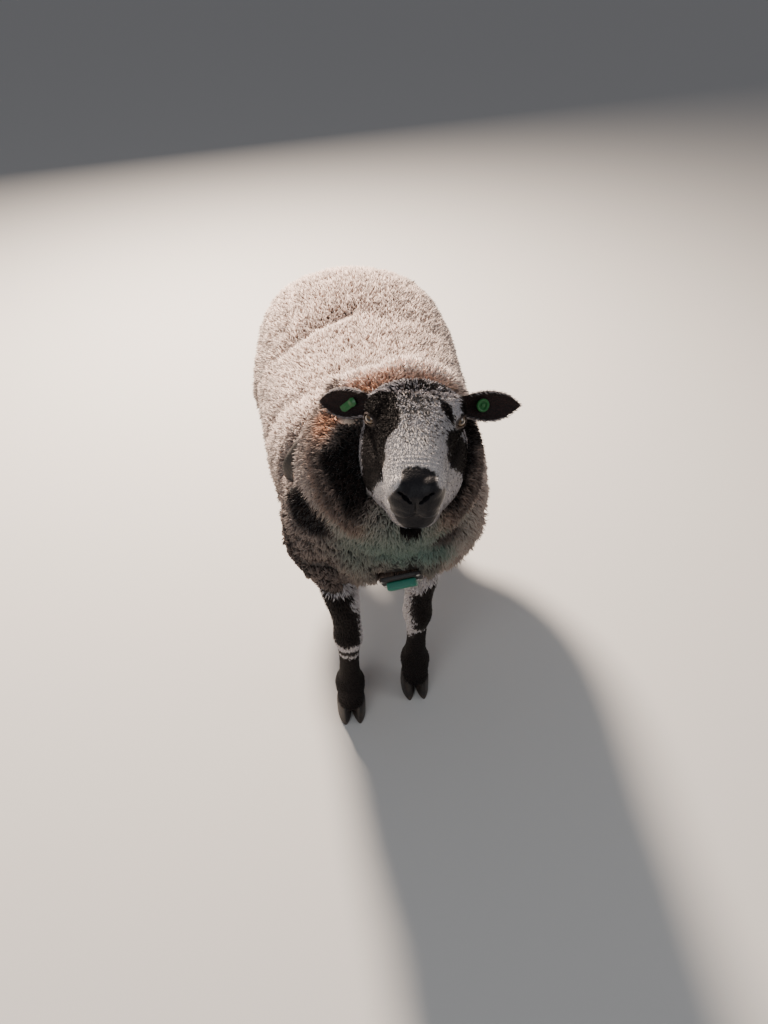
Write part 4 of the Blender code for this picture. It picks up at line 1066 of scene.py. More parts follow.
def round_axis(points, start, end):
    """A cylinder's unwrap: the angle round the line from start to end, and the share along it."""
    start, end = np.asarray(start, float), np.asarray(end, float)
    along = end - start
    share = ((points - start) @ along) / (along @ along)
    side = np.cross(along, (1, 0, 0) if abs(along[0]) < 0.5 * np.linalg.norm(along) else (0, 0, 1))
    side /= np.linalg.norm(side)
    third = np.cross(along / np.linalg.norm(along), side)
    away = points - start - share[:, None] * along
    angle = np.arctan2(away @ third, away @ side) / (2 * np.pi) + 0.5
    return np.stack([angle, np.clip(share, 0, 1)], 1)


# %% [markdown]
# ## The fleece
# On the back the wool is short, springy and upright; on the brisket and the lower sides it
# hangs in longer, wavy locks. Wool stands clear of the harness, except where its straps run
# in under the coat. The fleece is made in regions, each small enough to travel as one piece.

# %% Straps' lines, which the fleece leaves free
hull_tree = BVHTree.FromPolygons((outer_trunk[0] + SHIFT).tolist(), outer_trunk[1].tolist())
SHOULDER_LINE = mm(
    (26, -136, 740), (72, -136, 735), (110, -152, 728), (134, -190, 716), (148, -216, 680),
    (162, -224, 635), (170, -236, 590), (168, -272, 545), (148, -315, 505),
)
STRAP_ENDS = {
    1: mm((118, -336, 478), (86, -345, 467)),
    -1: mm((105, -340, 480), (60, -346, 467), (31, -346, 463)),
}
GIRTH_LINE = mm(
    (26, -85, 740), (120, -75, 710), (205, -60, 650), (250, -45, 550), (225, -30, 440),
    (150, -20, 370), (60, -20, 340),
)


def on_hull(places):
    """The nearest places on the smooth outside of the fleece, and the way out there."""
    found = [hull_tree.find_nearest(Vector(p)) for p in places]
    return np.array([f[0] for f in found]), np.array([f[1] for f in found])


SEEN_STRAP = "shoulder_strap_right"
strap_lines = {}
for side, side_name in SIDES:
    for kind, line in (("shoulder", np.vstack([SHOULDER_LINE, STRAP_ENDS[side]])), ("girth", GIRTH_LINE)):
        guides = curve_through(line * (side, 1, 1) + SHIFT, 10)
        places, out = on_hull(guides)
        for _ in range(3):
            out[1:-1] = (out[:-2] + 2 * out[1:-1] + out[2:]) / 4
        out = unit(out)
        if kind == "shoulder" and side < 0:
            ends = [places[np.abs(places[:, 2] - level).argmin()] for level in (0.724, 0.6)]
            down = np.clip((0.724 - places[:, 2]) / 0.124, 0, 1)[:, None]
            taut = ends[0] + (ends[1] - ends[0]) * down
            places = np.where((down > 0) & (down < 1), 0.75 * taut + 0.25 * places, places)
        strap_lines[kind + "_strap_" + side_name] = places, out
print("strap lengths in mm:", {
    name: round(float(np.linalg.norm(np.diff(places, axis=0), axis=1).sum() * 1000))
    for name, (places, _) in strap_lines.items()})

# %% Plant the fleece
def seat_on(place, roll=0, tilt=0):
    """The nearest place on the fleece, and columns there: level across, up the slope, and out."""
    (place,), (out,) = on_hull([np.array(place) + SHIFT])
    turn = Vector(out).to_track_quat("Z", "Y").to_matrix()
    roll, tilt = Matrix.Rotation(math.radians(roll), 3, "Y"), Matrix.Rotation(math.radians(tilt), 3, "Z")
    return place, np.array(roll @ turn @ tilt)


def beside_line(points, places, out):
    """The nearest place on a strap's line, and the way from it to each point without the part
    along out."""
    nearest = np.linalg.norm(points[:, None] - places[None], axis=2).argmin(1)
    offset = points - places[nearest]
    return places[nearest], offset - out[nearest] * (offset * out[nearest]).sum(1, keepdims=True)


quick = 1.0
PLATE_PLACE, WITHERS_PLACE = (0.026, -0.347, 0.463), (0, -0.11, 0.76)
centre_of_face = skin_points[skin_faces].mean(1)
face_part = skin_part[skin_faces]
plate_place, plate_seat = seat_on(PLATE_PLACE, -6, 10)
roots, leans = plant(skin_points, skin_faces, skin_normals, 0.0031 * quick, 5, (face_part == ON_BODY).all(1))
across, upward, outward = ((roots - plate_place) @ plate_seat).T
free = (np.abs(across) >= 0.042) | (np.abs(upward + 0.003) >= 0.033) | (np.abs(outward) >= 0.06)
drawn = np.zeros((len(roots), 3))
shorter = np.ones(len(roots))
for name, (places, out) in strap_lines.items():
    nearest, offset = beside_line(roots, places[::2], out[::2])
    away = np.linalg.norm(offset, axis=1)
    shown = (name == SEEN_STRAP) * step_down(np.abs(nearest[:, 2] - 0.666), 0.05, 0.003)
    free &= away > 0.006 + 0.003 * shown
    close = step_down(away, 0.034, 0.004)[:, None]
    drawn += offset / np.maximum(away, 1e-6)[:, None] * close * (0.002 * shown - 0.0085 * (1 - shown))[:, None]
    shorter = np.minimum(shorter, 1 - 0.82 * shown * step_down(away, 0.04, 0.004))
ear_tree = BVHTree.FromPolygons((together(world_ears)[0] + SHIFT).tolist(), together(world_ears)[1].tolist())
hanging = step_up(upward, 0.026, 0.002) * step_down(upward, 0.075, 0.004)
hanging = hanging * step_down(np.abs(across), 0.048, 0.003) * (np.abs(outward) < 0.06)
shorter *= 1 - 0.62 * hanging
roots, leans, drawn, shorter = roots[free], leans[free], drawn[free], shorter[free]
x, y, z = roots.T

hang = step_down(z, 0.6, 0.05)
on_neck = step_up(-(y + 0.2) + 0.55 * (z - 0.72), 0.0, 0.02)
lie = np.stack([0.35 * np.sign(x) * (1 - hang), 0.7 * (1 - on_neck) - 0.5 * on_neck, -0.55 - 0.5 * hang], 1)
bend = 0.18 + 0.4 * hang + 0.1 * on_neck
height = CORE_DEPTH * (1 + 0.12 * ragged(roots, 0.06, 31) + 0.07 * ragged(roots, 0.021, 32))
brisket = np.exp(-(((y + 0.36) / 0.1) ** 2) - ((z - 0.5) / 0.12) ** 2)
nape = hump(y, -0.25, 0.045) * step_up(z, NAPE_HEIGHT, 0.012) * np.exp(-(((x - 0.03) / 0.1) ** 4))
corner = step_down(x, -0.085, 0.012) * step_down(y, -0.16, 0.02) * step_down(z, 0.575, 0.012)
height *= (1 + 0.22 * brisket * (1 - corner) + 0.1 * nape) * (1 - 0.66 * corner) * shorter
height *= 1 - 0.12 * step_up(np.abs(x), 0.19, 0.01)
bend = bend * (1 - nape)
height = np.where((y > 0.515) & (np.abs(x) < 0.06), 0.011, height)
height = np.where(z < 0.43, height * np.interp(z, (0.37, 0.43), (0.45, 1.0)), height)
on_purse = (z < 0.4) & (np.abs(x) < 0.055) & (np.abs(y - 0.32) < 0.07)
height = np.where(on_purse, 0.0042, height)
face_reach = np.linalg.norm((to_head(roots - SHIFT) - (0, 0, -0.04)) / (0.088, 0.13, 0.105), axis=1) - 1
height *= 1 - 0.55 * hump(np.maximum(0, face_reach), 0, 0.25) * (1 - nape)
ask = np.linalg.norm(to_head(roots - SHIFT) - (0, 0.04, 0), axis=1) < 0.22
clear = np.full(len(roots), 1.0)
middles = roots + leans * height[:, None] * 0.5
found = [ear_tree.find_nearest(Vector(p), 0.05)[3] for p in middles[ask]]
clear[ask] = [0.05 if d is None else d for d in found]
height = np.where(clear < 0.016, height * np.clip((clear - 0.004) / 0.012, 0, 1), height)
tall_enough = height > 0.0025
roots, leans, drawn, height, lie, bend, hang, nape, on_purse = (
    v[tall_enough] for v in (roots, leans, drawn, height, lie, bend, hang, nape, on_purse))
x, y, z = roots.T
height *= np.random.default_rng(7).uniform(0.84, 1.12, len(roots))
width = 0.0022 * quick * (1 + 0.15 * hang) * np.where(on_purse, 0.65, 1.0)
fine_pull, fine_tone = clumped(roots, *FINE_STAPLES, 11)
broad_pull, broad_tone = clumped(roots, *BROAD_STAPLES, 12)
tones = np.where(hang > 0.5, broad_tone, fine_tone)
pull = drawn + (fine_pull * (1 - hang)[:, None] + broad_pull * hang[:, None]) * (1 - 0.6 * nape)[:, None]
marks = body_marks(roots)
unwrap = round_axis(roots, (0, -0.6, 0.56), (0, 0.6, 0.56))

REGIONS = {}
for band, back, front, middle in (
    ("ruff", -np.inf, -0.245, 0.015), ("shoulder", -0.245, -0.03, 0),
    ("side", -0.03, 0.21, 0), ("flank", 0.21, 0.4, 0),
):
    REGIONS["fleece_" + band + "_left"] = (y >= back) & (y < front) & (x >= middle)
    REGIONS["fleece_" + band + "_right"] = (y >= back) & (y < front) & (x < middle)
REGIONS["fleece_rump"] = y >= 0.4
coats = []
for number, (name, here) in enumerate(REGIONS.items()):
    points, faces, along, chance = locks(
        *(v[here] for v in (roots, leans, height, lie, bend, width)), 50 + number, pull[here], tones[here])
    # On the nape roll each lock takes its tip colour from root to tip: painted light, for the low sun that
    # glows through the roll.
    along = np.maximum(along, np.repeat(np.clip(1.5 * nape[here], 0, 1), len(along) // here.sum()))
    made = points, faces, along, chance
    coats.append(coat_piece(name, roots[here], made, marks[here], unwrap[here], False))

# %% [markdown]
# ## Short fur
# Face, ears and legs carry hair, not wool: a few millimetres long, lying flat, pointing to
# the nose on the face and down on the legs. The skin's own bump gives most of it. Fine
# locks are added so that it breaks the outline and so that the blaze is peppered hair by
# hair, and the woolly forelock is a middle thing between the two.

# %% Fur of the face, ears and legs
HAIR = ((-0.1, 0.8), (0.55, 1.0))


def region_coat(name, wanted, spacing, seed, height_of, lie_of, bend_of, width, unwrap_line, dither):
    """A coat piece whose height, lie and bend are functions of the roots' places."""
    wanted = wanted & ~opening[skin_faces].any(1)
    roots, leans = plant(skin_points, skin_faces, skin_normals, spacing * quick, seed, wanted)
    keep = height_of(roots) > 0.0004
    roots, leans = roots[keep], leans[keep]
    rng = np.random.default_rng(seed)
    tall = height_of(roots) * rng.uniform(0.8, 1.15, len(roots))
    wide = np.full(len(roots), width * quick)
    pull, tone = clumped(roots, *FUR_CLUMPS, seed + 2)
    pull *= np.clip(tall / 0.006, 0, 1)[:, None]
    made = locks(roots, leans, tall, lie_of(roots), bend_of(roots), wide, seed + 1, pull, tone, HAIR, 0.1)
    marks = marks_of(roots, part_of(roots))
    return coat_piece(name, roots, made, marks, round_axis(roots, *unwrap_line), dither)


def face_height(points):
    """Long and woolly on the poll, a few millimetres on the nose, and nothing on leather or lids."""
    local = to_head(points - SHIFT)
    x, y, z = local.T
    tall = np.interp(y, (-0.15, -0.1, -0.05, 0.0, 0.04, 0.08, 0.11),
                     (0.001, 0.0014, 0.0022, 0.0034, 0.006, 0.0105, 0.015))
    below = step_down(z, under_jaw(y) + 0.02, 0.005)
    forelock = 1 + 0.35 * hump(x, 0, 0.036) * step_up(y, 0.045, 0.006)
    tall = tall * forelock * (1 - 0.45 * step_up(y, 0.085, 0.008))
    tall = tall * (0.5 + 0.5 * step_up(z, 0.005, 0.008)) + 0.003 * below * step_up(y, -0.12, 0.02)
    tuft = chin_tuft(x, y, z, -0.13)
    tall = tall + 0.013 * step_up(tuft, 0.35, 0.04)
    for side in (-1, 1):
        away, _ = lid_distance(local, side)
        tall = tall * step_up(away, 1.62, 0.12)
    return tall * (1 - muzzle_share(points) * (tuft < 0.35))


def face_lie(points):
    """Towards the nose and a little outwards and down, in the head's own directions."""
    x, y, z = to_head(points - SHIFT).T
    lie = np.stack([0.5 * np.sign(x) * np.abs(x) / 0.06, -1.0 + 0 * x, -0.45 - 4 * np.maximum(0, -z)], 1)
    return lie @ HEAD[:3, :3].T


def face_bend(points):
    """Nearly flat on the nose and upright on the poll."""
    y = to_head(points - SHIFT)[:, 1]
    return np.interp(y, (-0.12, -0.05, 0.02, 0.06, 0.09), (2.6, 2.2, 1.5, 0.8, 0.45))


def ear_lie(points):
    """Out along each ear."""
    x = to_head(points - SHIFT)[:, :1]
    lie = np.where(x > 0, np.array(EAR_WAYS[1]), np.array(EAR_WAYS[-1])) + np.array((0, 0, -0.35))
    return lie @ HEAD[:3, :3].T


def ear_height(points):
    """Short over the leaf and longer along its rim."""
    local = to_head(points - SHIFT)
    to_rim = np.where(local[:, 0] > 0, on_leaf_of(local, 1)[1], on_leaf_of(local, -1)[1])
    return 0.0011 + 0.0016 * step_up(to_rim, 0.86, 0.05)


def ear_bend(points):
    return np.full(len(points), 2.4)


def leg_height(points):
    """Longer over the coronet and where the leg runs into the fleece."""
    return np.interp(points[:, 2], (0.044, 0.055, 0.07, 0.2, 0.34, 0.42),
                     (0.005, 0.0028, 0.0019, 0.0017, 0.0035, 0.011))


def leg_lie(points):
    """Down and a little back."""
    return np.array((0, 0.25, -1)) + 0 * points


def leg_bend(points):
    return np.interp(points[:, 2], (0.05, 0.3, 0.42), (2.6, 2.2, 0.9))


leg_line = ((0, 0.05, 0.0), (0, 0.05, 0.45))
head_line = from_head(np.array(((0, 0.13, -0.03), (0, -0.18, -0.03)))) + SHIFT
ear_line = from_head(np.array(((-0.18, 0.05, 0), (0.18, 0.05, 0)))) + SHIFT
furs = [
    region_coat("face_fur", (face_part == ON_HEAD).all(1), 0.0023, 71, face_height, face_lie, face_bend,
                0.00095, head_line, True),
    region_coat("ear_fur", (face_part == ON_EAR).all(1), 0.0022, 81, ear_height, ear_lie, ear_bend,
                0.0008, ear_line, False),
]
for side, side_name in SIDES:
    here = (face_part == ON_LEG).all(1) & (centre_of_face[:, 0] * side > 0)
    furs.append(region_coat("leg_fur_" + side_name, here, 0.0031, 91 + side, leg_height, leg_lie,
                            leg_bend, 0.0012, leg_line, True))

# %% [markdown]
# ## Eyes
# A ram's eye is amber with a level, slot-shaped pupil. The eyeball is a sphere with the
# cornea standing a little proud. Each corner keeps its direction from the middle of the
# eye, measured from the gaze, and the material draws iris and pupil from that.

# %% Two eyeballs
CORNEA_RISE = 0.055


def eyeball(side, rows=40, count=64):
    """place + r (out cos p + across sin p cos a + up sin p sin a), where r grows by the cornea's
    rise times exp(-(p / 0.55)^2)."""
    p = np.linspace(0, np.pi, rows + 2)[1:-1, None]
    a = 2 * np.pi * np.arange(count)[None] / count
    ways = np.stack([np.cos(p) + 0 * a, np.sin(p) * np.cos(a), np.sin(p) * np.sin(a)], -1)
    radius = EYE_RADIUS * (1 + CORNEA_RISE * np.exp(-((p / 0.55) ** 2)))[..., None]
    points, faces = tube(mirrored(EYE, side) + (ways * radius) @ gaze_axes(side).T)
    return from_head(points) + SHIFT, faces, (points - mirrored(EYE, side)) @ gaze_axes(side) / EYE_RADIUS


eyes = []
for side, side_name in SIDES:
    points, faces, ways = eyeball(side)
    piece = new_piece("eyeball_" + side_name, points, faces)
    paint(piece, "gaze", np.concatenate([ways * 0.5 + 0.5, np.ones((len(ways), 1))], 1))
    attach(piece, "root")
    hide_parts("eye_" + side_name)
    eyes.append(piece)
print("eyeballs:", len(eyes))

# %% [markdown]
# ## Hooves
# Each foot ends in two claws of horn with a groove between them. Horn grows down from the
# coronet in rings, so the wall is a section carried up the claw with shallow steps in it.

# %% Claws and dewclaws
CLAW = mm(
    (0, 44, 29.2, 14.4), (1.6, 45, 30, 15), (8, 44, 31, 15.4), (24, 38, 32, 15.6),
    (40, 31.5, 30.2, 15.2), (46, 26.5, 26.5, 13), (50, 20, 20, 10),
)
CLAW_MIDDLE = 0.0162  # sideways from the middle of the foot


def claw_shell(foot, side, inner, columns=44):
    """At height z and angle a: sideways w |cos a|^0.8, where w narrows to the toe with the cube of
    the way there, and along by the reach to toe or heel, all times 1 + ridges in z."""
    rows = curve_through(CLAW, 7)
    z, toe, heel, wide = (rows[:, k, None] for k in range(4))
    a = 2 * np.pi * np.arange(columns)[None] / columns
    c, s = np.cos(a), np.sin(a)
    ridge = 1 + 0.01 * np.sin(2 * np.pi * (z + 0.0012 * s) / 0.0046) * (z > 0.003) * (z < 0.04)
    width = wide * (1 - 0.45 * np.maximum(0, -s) ** 3)
    x = width * np.sign(c) * np.abs(c) ** 0.8 * ridge
    y = s * np.where(s > 0, heel, toe) * ridge
    across = CLAW_MIDDLE * (-1 if inner else 1) * side
    return tube(np.stack([foot[0] + across + x, foot[1] + y, z + 0 * a], -1))


hooves = []
for name, foot in FEET.items():
    shells = [claw_shell(foot, foot[2], inner) for inner in (True, False)]
    for across in (-0.012, 0.012):
        dewclaw = (foot[0] + across, foot[1] + 0.036, 0.081)
        shells.append(ball(dewclaw, (0.0085, 0.0105, 0.0125), 12, 18))
    points, faces = together(shells)
    piece = new_piece("hoof_" + name, points + SHIFT, faces)
    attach(piece, "root")
    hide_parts(*["claw_" + name + "_" + which for which in ("inner", "outer")])
    hooves.append(piece)
print("hooves:", len(hooves), "of", len(hooves[0].data.polygons), "triangles")

# %% [markdown]
# ## The harness
# A marking harness holds a wax crayon on the ram's brisket, by webbing over both shoulders
# and a girth behind the forelegs. Webbing is a flat band, so its section, a rectangle with
# round edges, is carried along the same lines that the fleece was kept off.

# %% Straps of webbing
STRAP = (0.03, 0.0036)


def strap_piece(name, places, out, rise, columns=26):
    """place + out (rise + v) + side u, where (u, v) runs round a band with rounded edges:
    u = w sign(cos) |cos|^0.28 / 2 and v = t sign(sin) |sin|^0.5 / 2."""
    tangent = unit(np.gradient(places, axis=0))
    side = unit(np.cross(tangent, out))
    out = np.cross(side, tangent)
    a = 2 * np.pi * (np.arange(columns) + 0.5) / columns
    u = STRAP[0] / 2 * np.sign(np.cos(a)) * np.abs(np.cos(a)) ** 0.28
    v = STRAP[1] / 2 * np.sign(np.sin(a)) * np.abs(np.sin(a)) ** 0.5
    rings = places[:, None] + out[:, None] * (rise[:, None] + v)[..., None] + side[:, None] * u[None, :, None]
    points, faces = tube(rings)
    run = np.concatenate([[0], np.cumsum(np.linalg.norm(np.diff(places, axis=0), axis=1))])
    weave = np.ones((len(run), columns, 4))
    weave[..., 0], weave[..., 1], weave[..., 2] = run[:, None], u, v
    weave = np.vstack([weave.reshape(-1, 4), [[run[0], 0, 0, 1]], [[run[-1], 0, 0, 1]]])
    piece = new_piece(name + "_webbing", points, faces)
    paint(piece, "weave", weave)
    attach(piece, "root")
    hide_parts(name)
    return piece


straps = []
for name, (places, out) in strap_lines.items():
    shown = np.exp(-(((places[:, 2] - 0.668) / 0.05) ** 6)) * (name == SEEN_STRAP)
    rise = -0.0145 + 0.0325 * shown - 0.005 * step_down(places[:, 2], 0.59, 0.01)
    out = unit(out * (1 - shown[:, None]) + shown[:, None] * np.array((-0.54, -0.67, 0.51)))
    straps.append(strap_piece(name, places, out, rise))
print("straps:", len(straps))

# %% [markdown]
# ## Breast plate, crayon and ring plate
# The crayon sits on a stiff plate low on the chest. Its wax wears away at the edge that
# meets the ewes, so the block is thinner at one end and its rim is rounded off. Plates are
# slabs: a rounded outline drawn in a little towards each face.

# %% Slabs, rods and the parts made of them
def slab(size, corner, edge, low, count=12, wear=None):
    """The outline of a rectangle with rounded corners, drawn in by e (1 - cos) and raised by
    e sin round each rim. Wear lowers the top by a function of the place."""
    half = np.array(size[:2]) / 2
    a = np.linspace(0, np.pi / 2, count)
    turns = np.concatenate([a, a + np.pi / 2, a + np.pi, a + 1.5 * np.pi])
    signs = np.repeat(np.array(((1, 1), (-1, 1), (-1, -1), (1, -1))), count, axis=0)
    q = np.linspace(0, np.pi / 2, 6)
    levels = np.concatenate([low + edge * (1 - np.sin(q[::-1])), low + size[2] - edge * (1 - np.sin(q))])
    insets = np.concatenate([edge * (1 - np.cos(q[::-1])), edge * (1 - np.cos(q))])
    rings = []
    for level, inset in zip(levels, insets):
        middle = signs * (half - corner)
        xy = middle + np.stack([np.cos(turns), np.sin(turns)], 1) * (corner - inset)
        z = np.full(len(xy), level)
        if wear is not None:
            z = low + (z - low) * wear(xy)
        rings.append(np.column_stack([xy, z]))
    return tube(np.array(rings))


def lathe(profile, columns=40):
    """A profile of radius and height turned about the third axis."""
    profile = np.asarray(profile, float)
    a = 2 * np.pi * np.arange(columns) / columns
    ring = np.stack([np.cos(a), np.sin(a), 0 * a], -1)
    rings = profile[:, :1, None] * ring[None] + profile[:, 1, None, None] * Z
    return tube(rings)


def moved(shell, by):
    return shell[0] + np.array(by), shell[1]


def put(shell, axes, place):
    """The shell turned into these axes and moved to the place."""
    return shell[0] @ np.asarray(axes).T + place, shell[1]


def fixed_piece(name, shells, replaced):
    """A piece of several shells, with sharp corners, that rides on the one body."""
    piece = new_piece(name, *together(shells))
    sharp = piece.modifiers.new("corners", "EDGE_SPLIT")
    sharp.split_angle = math.radians(42)
    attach(piece, "root")
    if replaced:
        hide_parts(replaced)
    return piece


rivet = mm((0.1, 1.6), (1.6, 1.3), (3, 0.4), (3.4, -1))
upper_bar = moved(slab((0.07, 0.006, 0.0016), 0.0028, 0.0007, 0.001), (0, 0.0245, 0))
plate = [slab((0.078, 0.058, 0.0074), 0.01, 0.0018, -0.006), upper_bar, moved(upper_bar, (0, -0.049, 0))]
plate = [put(shell, plate_seat, plate_place) for shell in plate]
plate_piece = fixed_piece("brisket_plate", plate, "breast_plate")
rivets = [
    put(moved(lathe(rivet, 20), (across, along, 0.0026)), plate_seat, plate_place)
    for across in (-0.034, 0.034) for along in (-0.0245, 0.0245)]


def worn(xy):
    """Full at one end and three quarters at the other, a little hollow along the middle."""
    return 0.88 + 0.12 * np.tanh(xy[:, 1] / 0.012) - 0.05 * np.cos(xy[:, 0] / 0.012)


crayon_shell = slab((0.056, 0.032, 0.0155), 0.005, 0.0036, 0.002, 12, worn)
crayon_piece = fixed_piece("wax_crayon", [put(crayon_shell, plate_seat, plate_place)], "crayon")
rod = lathe([(0.0001, -0.0335), (0.0016, -0.033), (0.0016, 0.033), (0.0001, 0.0335)], 16)
rod = (rod[0] @ np.array(((0, 0, 1), (0, 1, 0), (-1, 0, 0))), rod[1])
rivets.append(put(moved(rod, (0, 0.004, 0.0065)), plate_seat, plate_place))

ring_place, ring_seat = seat_on(WITHERS_PLACE)
ring_plate = slab((0.04, 0.092, 0.0038), 0.008, 0.001, -0.006)
ring_piece = fixed_piece("withers_plate", [put(ring_plate, ring_seat, ring_place)], "spine_plate")
rivets += [
    put(moved(lathe(rivet, 20), (across, along, -0.0018)), ring_seat, ring_place)
    for along in (-0.034, 0.034) for across in (-0.012, 0.012)]
metal_piece = fixed_piece("rivets_and_pin", rivets, None)
print("harness:", len(together(rivets)[1]), "triangles of rivets and pin")

# %% [markdown]
# ## Ear tags
# Each ear carries a green plastic tag, left bare here: a round button in the ram's left ear
# and a narrow flag in its right, each on a stud through the leaf with a smaller back.

# %% Button and flag
def tag_seat(side):
    """The place on the ear that the stud goes through, and columns across, up and out of the cup."""
    along, facing, across = ear_axes(side).T
    return mirrored(EAR_ROOT, side) + along * TAG_REACH, np.stack([across, np.cross(facing, across), facing], 1)


button = mm(
    (0.1, -6.2), (2, -6.3), (2.8, -7), (3, -9.8), (6.8, -9.9), (7.1, -7.6), (8, -7), (10.2, -7.3),
    (10.9, -8.5), (10.6, -10.6), (9.8, -11), (0.1, -11),
)
stud = mm((0.1, -10), (2.6, -10), (2.6, -23.6), (0.1, -23.6))
back = mm(
    (0.1, -22.2), (8.8, -22.2), (9.8, -22.7), (10.1, -23.4), (9.8, -24.1), (8.6, -24.6),
    (3.4, -24.6), (2.8, -26.2), (2, -26.8), (0.1, -27),
)
small_front = mm(
    (0.1, -7.4), (2.2, -7.6), (3, -8.4), (6.6, -8.6), (7.4, -9.2), (7.4, -10.2), (6.6, -10.8),
    (0.1, -10.8),
)
tags = []
for side, side_name in SIDES:
    place, axes = tag_seat(side)
    shells = [lathe(stud, 24), lathe(back)]
    if side_name == "left":
        shells.append(lathe(button, 56))
    else:
        shells.append(lathe(small_front))
        flag = moved(slab((0.013, 0.033, 0.0022), 0.0018, 0.0007, -0.0112, 8), (0, -0.033 * 0.3, 0))
        shells.append((flag[0] @ turned(-30, "Z"), flag[1]))
    seated = [put(shell, axes, place) for shell in shells]
    world = [(from_head(points) + SHIFT, faces) for points, faces in seated]
    tags.append(fixed_piece("plastic_tag_" + side_name, world, "ear_tag_" + side_name))
print("tags:", len(tags), "seat handedness", [round(float(np.linalg.det(tag_seat(s)[1])), 2) for s in (1, -1)])

# %% [markdown]
# ## Finishes
# Wool, hair and skin share their colours, so these come from one node group that turns the
# marks kept at each corner into a colour. Two more groups give fine fibre and grime. Each
# material then adds its own gloss. Nothing is a photograph: all of it is worked out from
# places and from the marks.

# %% Help for building node trees
def opaque(value):
    """A colour's three shares with an alpha of 1; any other value as it is."""
    return (*value, 1.0) if isinstance(value, tuple) else value


class Nodes:
    """Adds shader nodes to one tree. An input is a number, a colour of three shares, or the
    socket of another node."""

    def __init__(self, tree):
        self.tree = tree

    def fill(self, made, inputs):
        for key, value in inputs.items():
            if isinstance(value, bpy.types.NodeSocket):
                self.tree.links.new(value, made.inputs[key])
            else:
                made.inputs[key].default_value = opaque(value)
        return made

    def add(self, kind, inputs=None, **settings):
        made = self.tree.nodes.new("ShaderNode" + kind)
        for key, value in settings.items():
            setattr(made, key, value)
        return self.fill(made, inputs or {})

    def math(self, operation, *values, clamp=False):
        return self.add("Math", dict(enumerate(values)), operation=operation, use_clamp=clamp).outputs[0]

    def times(self, first, second):
        return self.math("MULTIPLY", first, second)

    def plus(self, first, second):
        return self.math("ADD", first, second)

    def wave(self, value, length):
        """sin(2 pi value / length)."""
        return self.math("SINE", self.times(value, 2 * math.pi / length))

    def mix(self, share, first, second):
        """The first colour where the share is 0, and the second where it is 1."""
        return self.add("Mix", {0: share, 6: first, 7: second}, data_type="RGBA").outputs[2]

    def ramp(self, value, low, high):
        """0 where the value is low or less and 1 where it is high or more, straight between."""
        return self.add("MapRange", {"Value": value, "From Min": low, "From Max": high}).outputs[0]

    def noise(self, place, scale, **more):
        return self.add("TexNoise", {"Vector": place, "Scale": scale, **more}).outputs[0]

    def place(self):
        return self.add("TexCoord").outputs["Object"]

    def kept(self, name):
        """What the corners of the mesh keep under this name."""
        return self.add("Attribute", attribute_name=name).outputs

    def parts(self, colour):
        return self.add("SeparateColor", {0: colour}).outputs

    def use(self, group, inputs):
        made = self.tree.nodes.new("ShaderNodeGroup")
        made.node_tree = group
        return self.fill(made, inputs).outputs

    def surface(self, inputs, bump=None):
        """Fills the surface shader. Bump is a strength, a distance and a height."""
        if bump:
            made = self.add("Bump", dict(zip(("Strength", "Distance", "Height"), bump)))
            inputs = {**inputs, "Normal": made.outputs[0]}
        self.fill(self.tree.nodes["Principled BSDF"], inputs)


def new_group(name, inputs, outputs, kind="Float"):
    """A group with named inputs (None for a place) and outputs that are all of one kind."""
    group = bpy.data.node_groups.new(name, "ShaderNodeTree")
    for title, value in inputs.items():
        sort = {tuple: "Color", float: "Float"}.get(type(value), "Vector")
        socket = group.interface.new_socket(title, in_out="INPUT", socket_type="NodeSocket" + sort)
        if value is not None:
            socket.default_value = opaque(value)
    for title in outputs:
        group.interface.new_socket(title, in_out="OUTPUT", socket_type="NodeSocket" + kind)
    given, put_out = group.nodes.new("NodeGroupInput"), group.nodes.new("NodeGroupOutput")
    return group, Nodes(group), given.outputs, put_out


def new_material(name):
    made = bpy.data.materials.new(name)
    made.use_nodes = True
    return made, Nodes(made.node_tree)


def finish_in(material, pieces):
    for piece in pieces:
        piece.data.materials.append(material)


# %% [markdown]
# ### The coat's colours
# Wool is creamy at its tips and darker and greyer near the skin, where light doesn't reach and
# dust settles: painted shade and dust together. Dark wool bleaches brown at the tip. Rust lies
# between the two, and the green is a stain on white wool under the chin, darkened further with
# painted shade because that wool lies in the shade of the head.

# %% Group: coat colours
coat_colours, nodes, given, put_out = new_group("Coat colours", {
    "Marks": (0, 0, 0), "Shade": 0.0, "Along": 1.0, "Chance": 0.5,
    "Pale": (0.83, 0.76, 0.66), "Pale root": (0.47, 0.38, 0.31),
    "Dark": (0.0065, 0.005, 0.005), "Dark tip": (0.026, 0.016, 0.013)}, ["Color"], "Color")
dark, rust, green = nodes.parts(given["Marks"])
lift = nodes.math("POWER", given["Along"], 1.7)
pale = nodes.mix(lift, given["Pale root"], given["Pale"])
tint = nodes.math("MULTIPLY_ADD", given["Chance"], 0.46, 0.68)
pale = nodes.add("HueSaturation", {"Color": pale, "Value": tint}).outputs[0]
# The shade share darkens the wool towards this brown: partly dust, partly painted shade.
dust_and_shade = nodes.mix(lift, (0.04, 0.029, 0.024), (0.18, 0.138, 0.12))
pale = nodes.mix(nodes.times(given["Shade"], 0.92), pale, dust_and_shade)
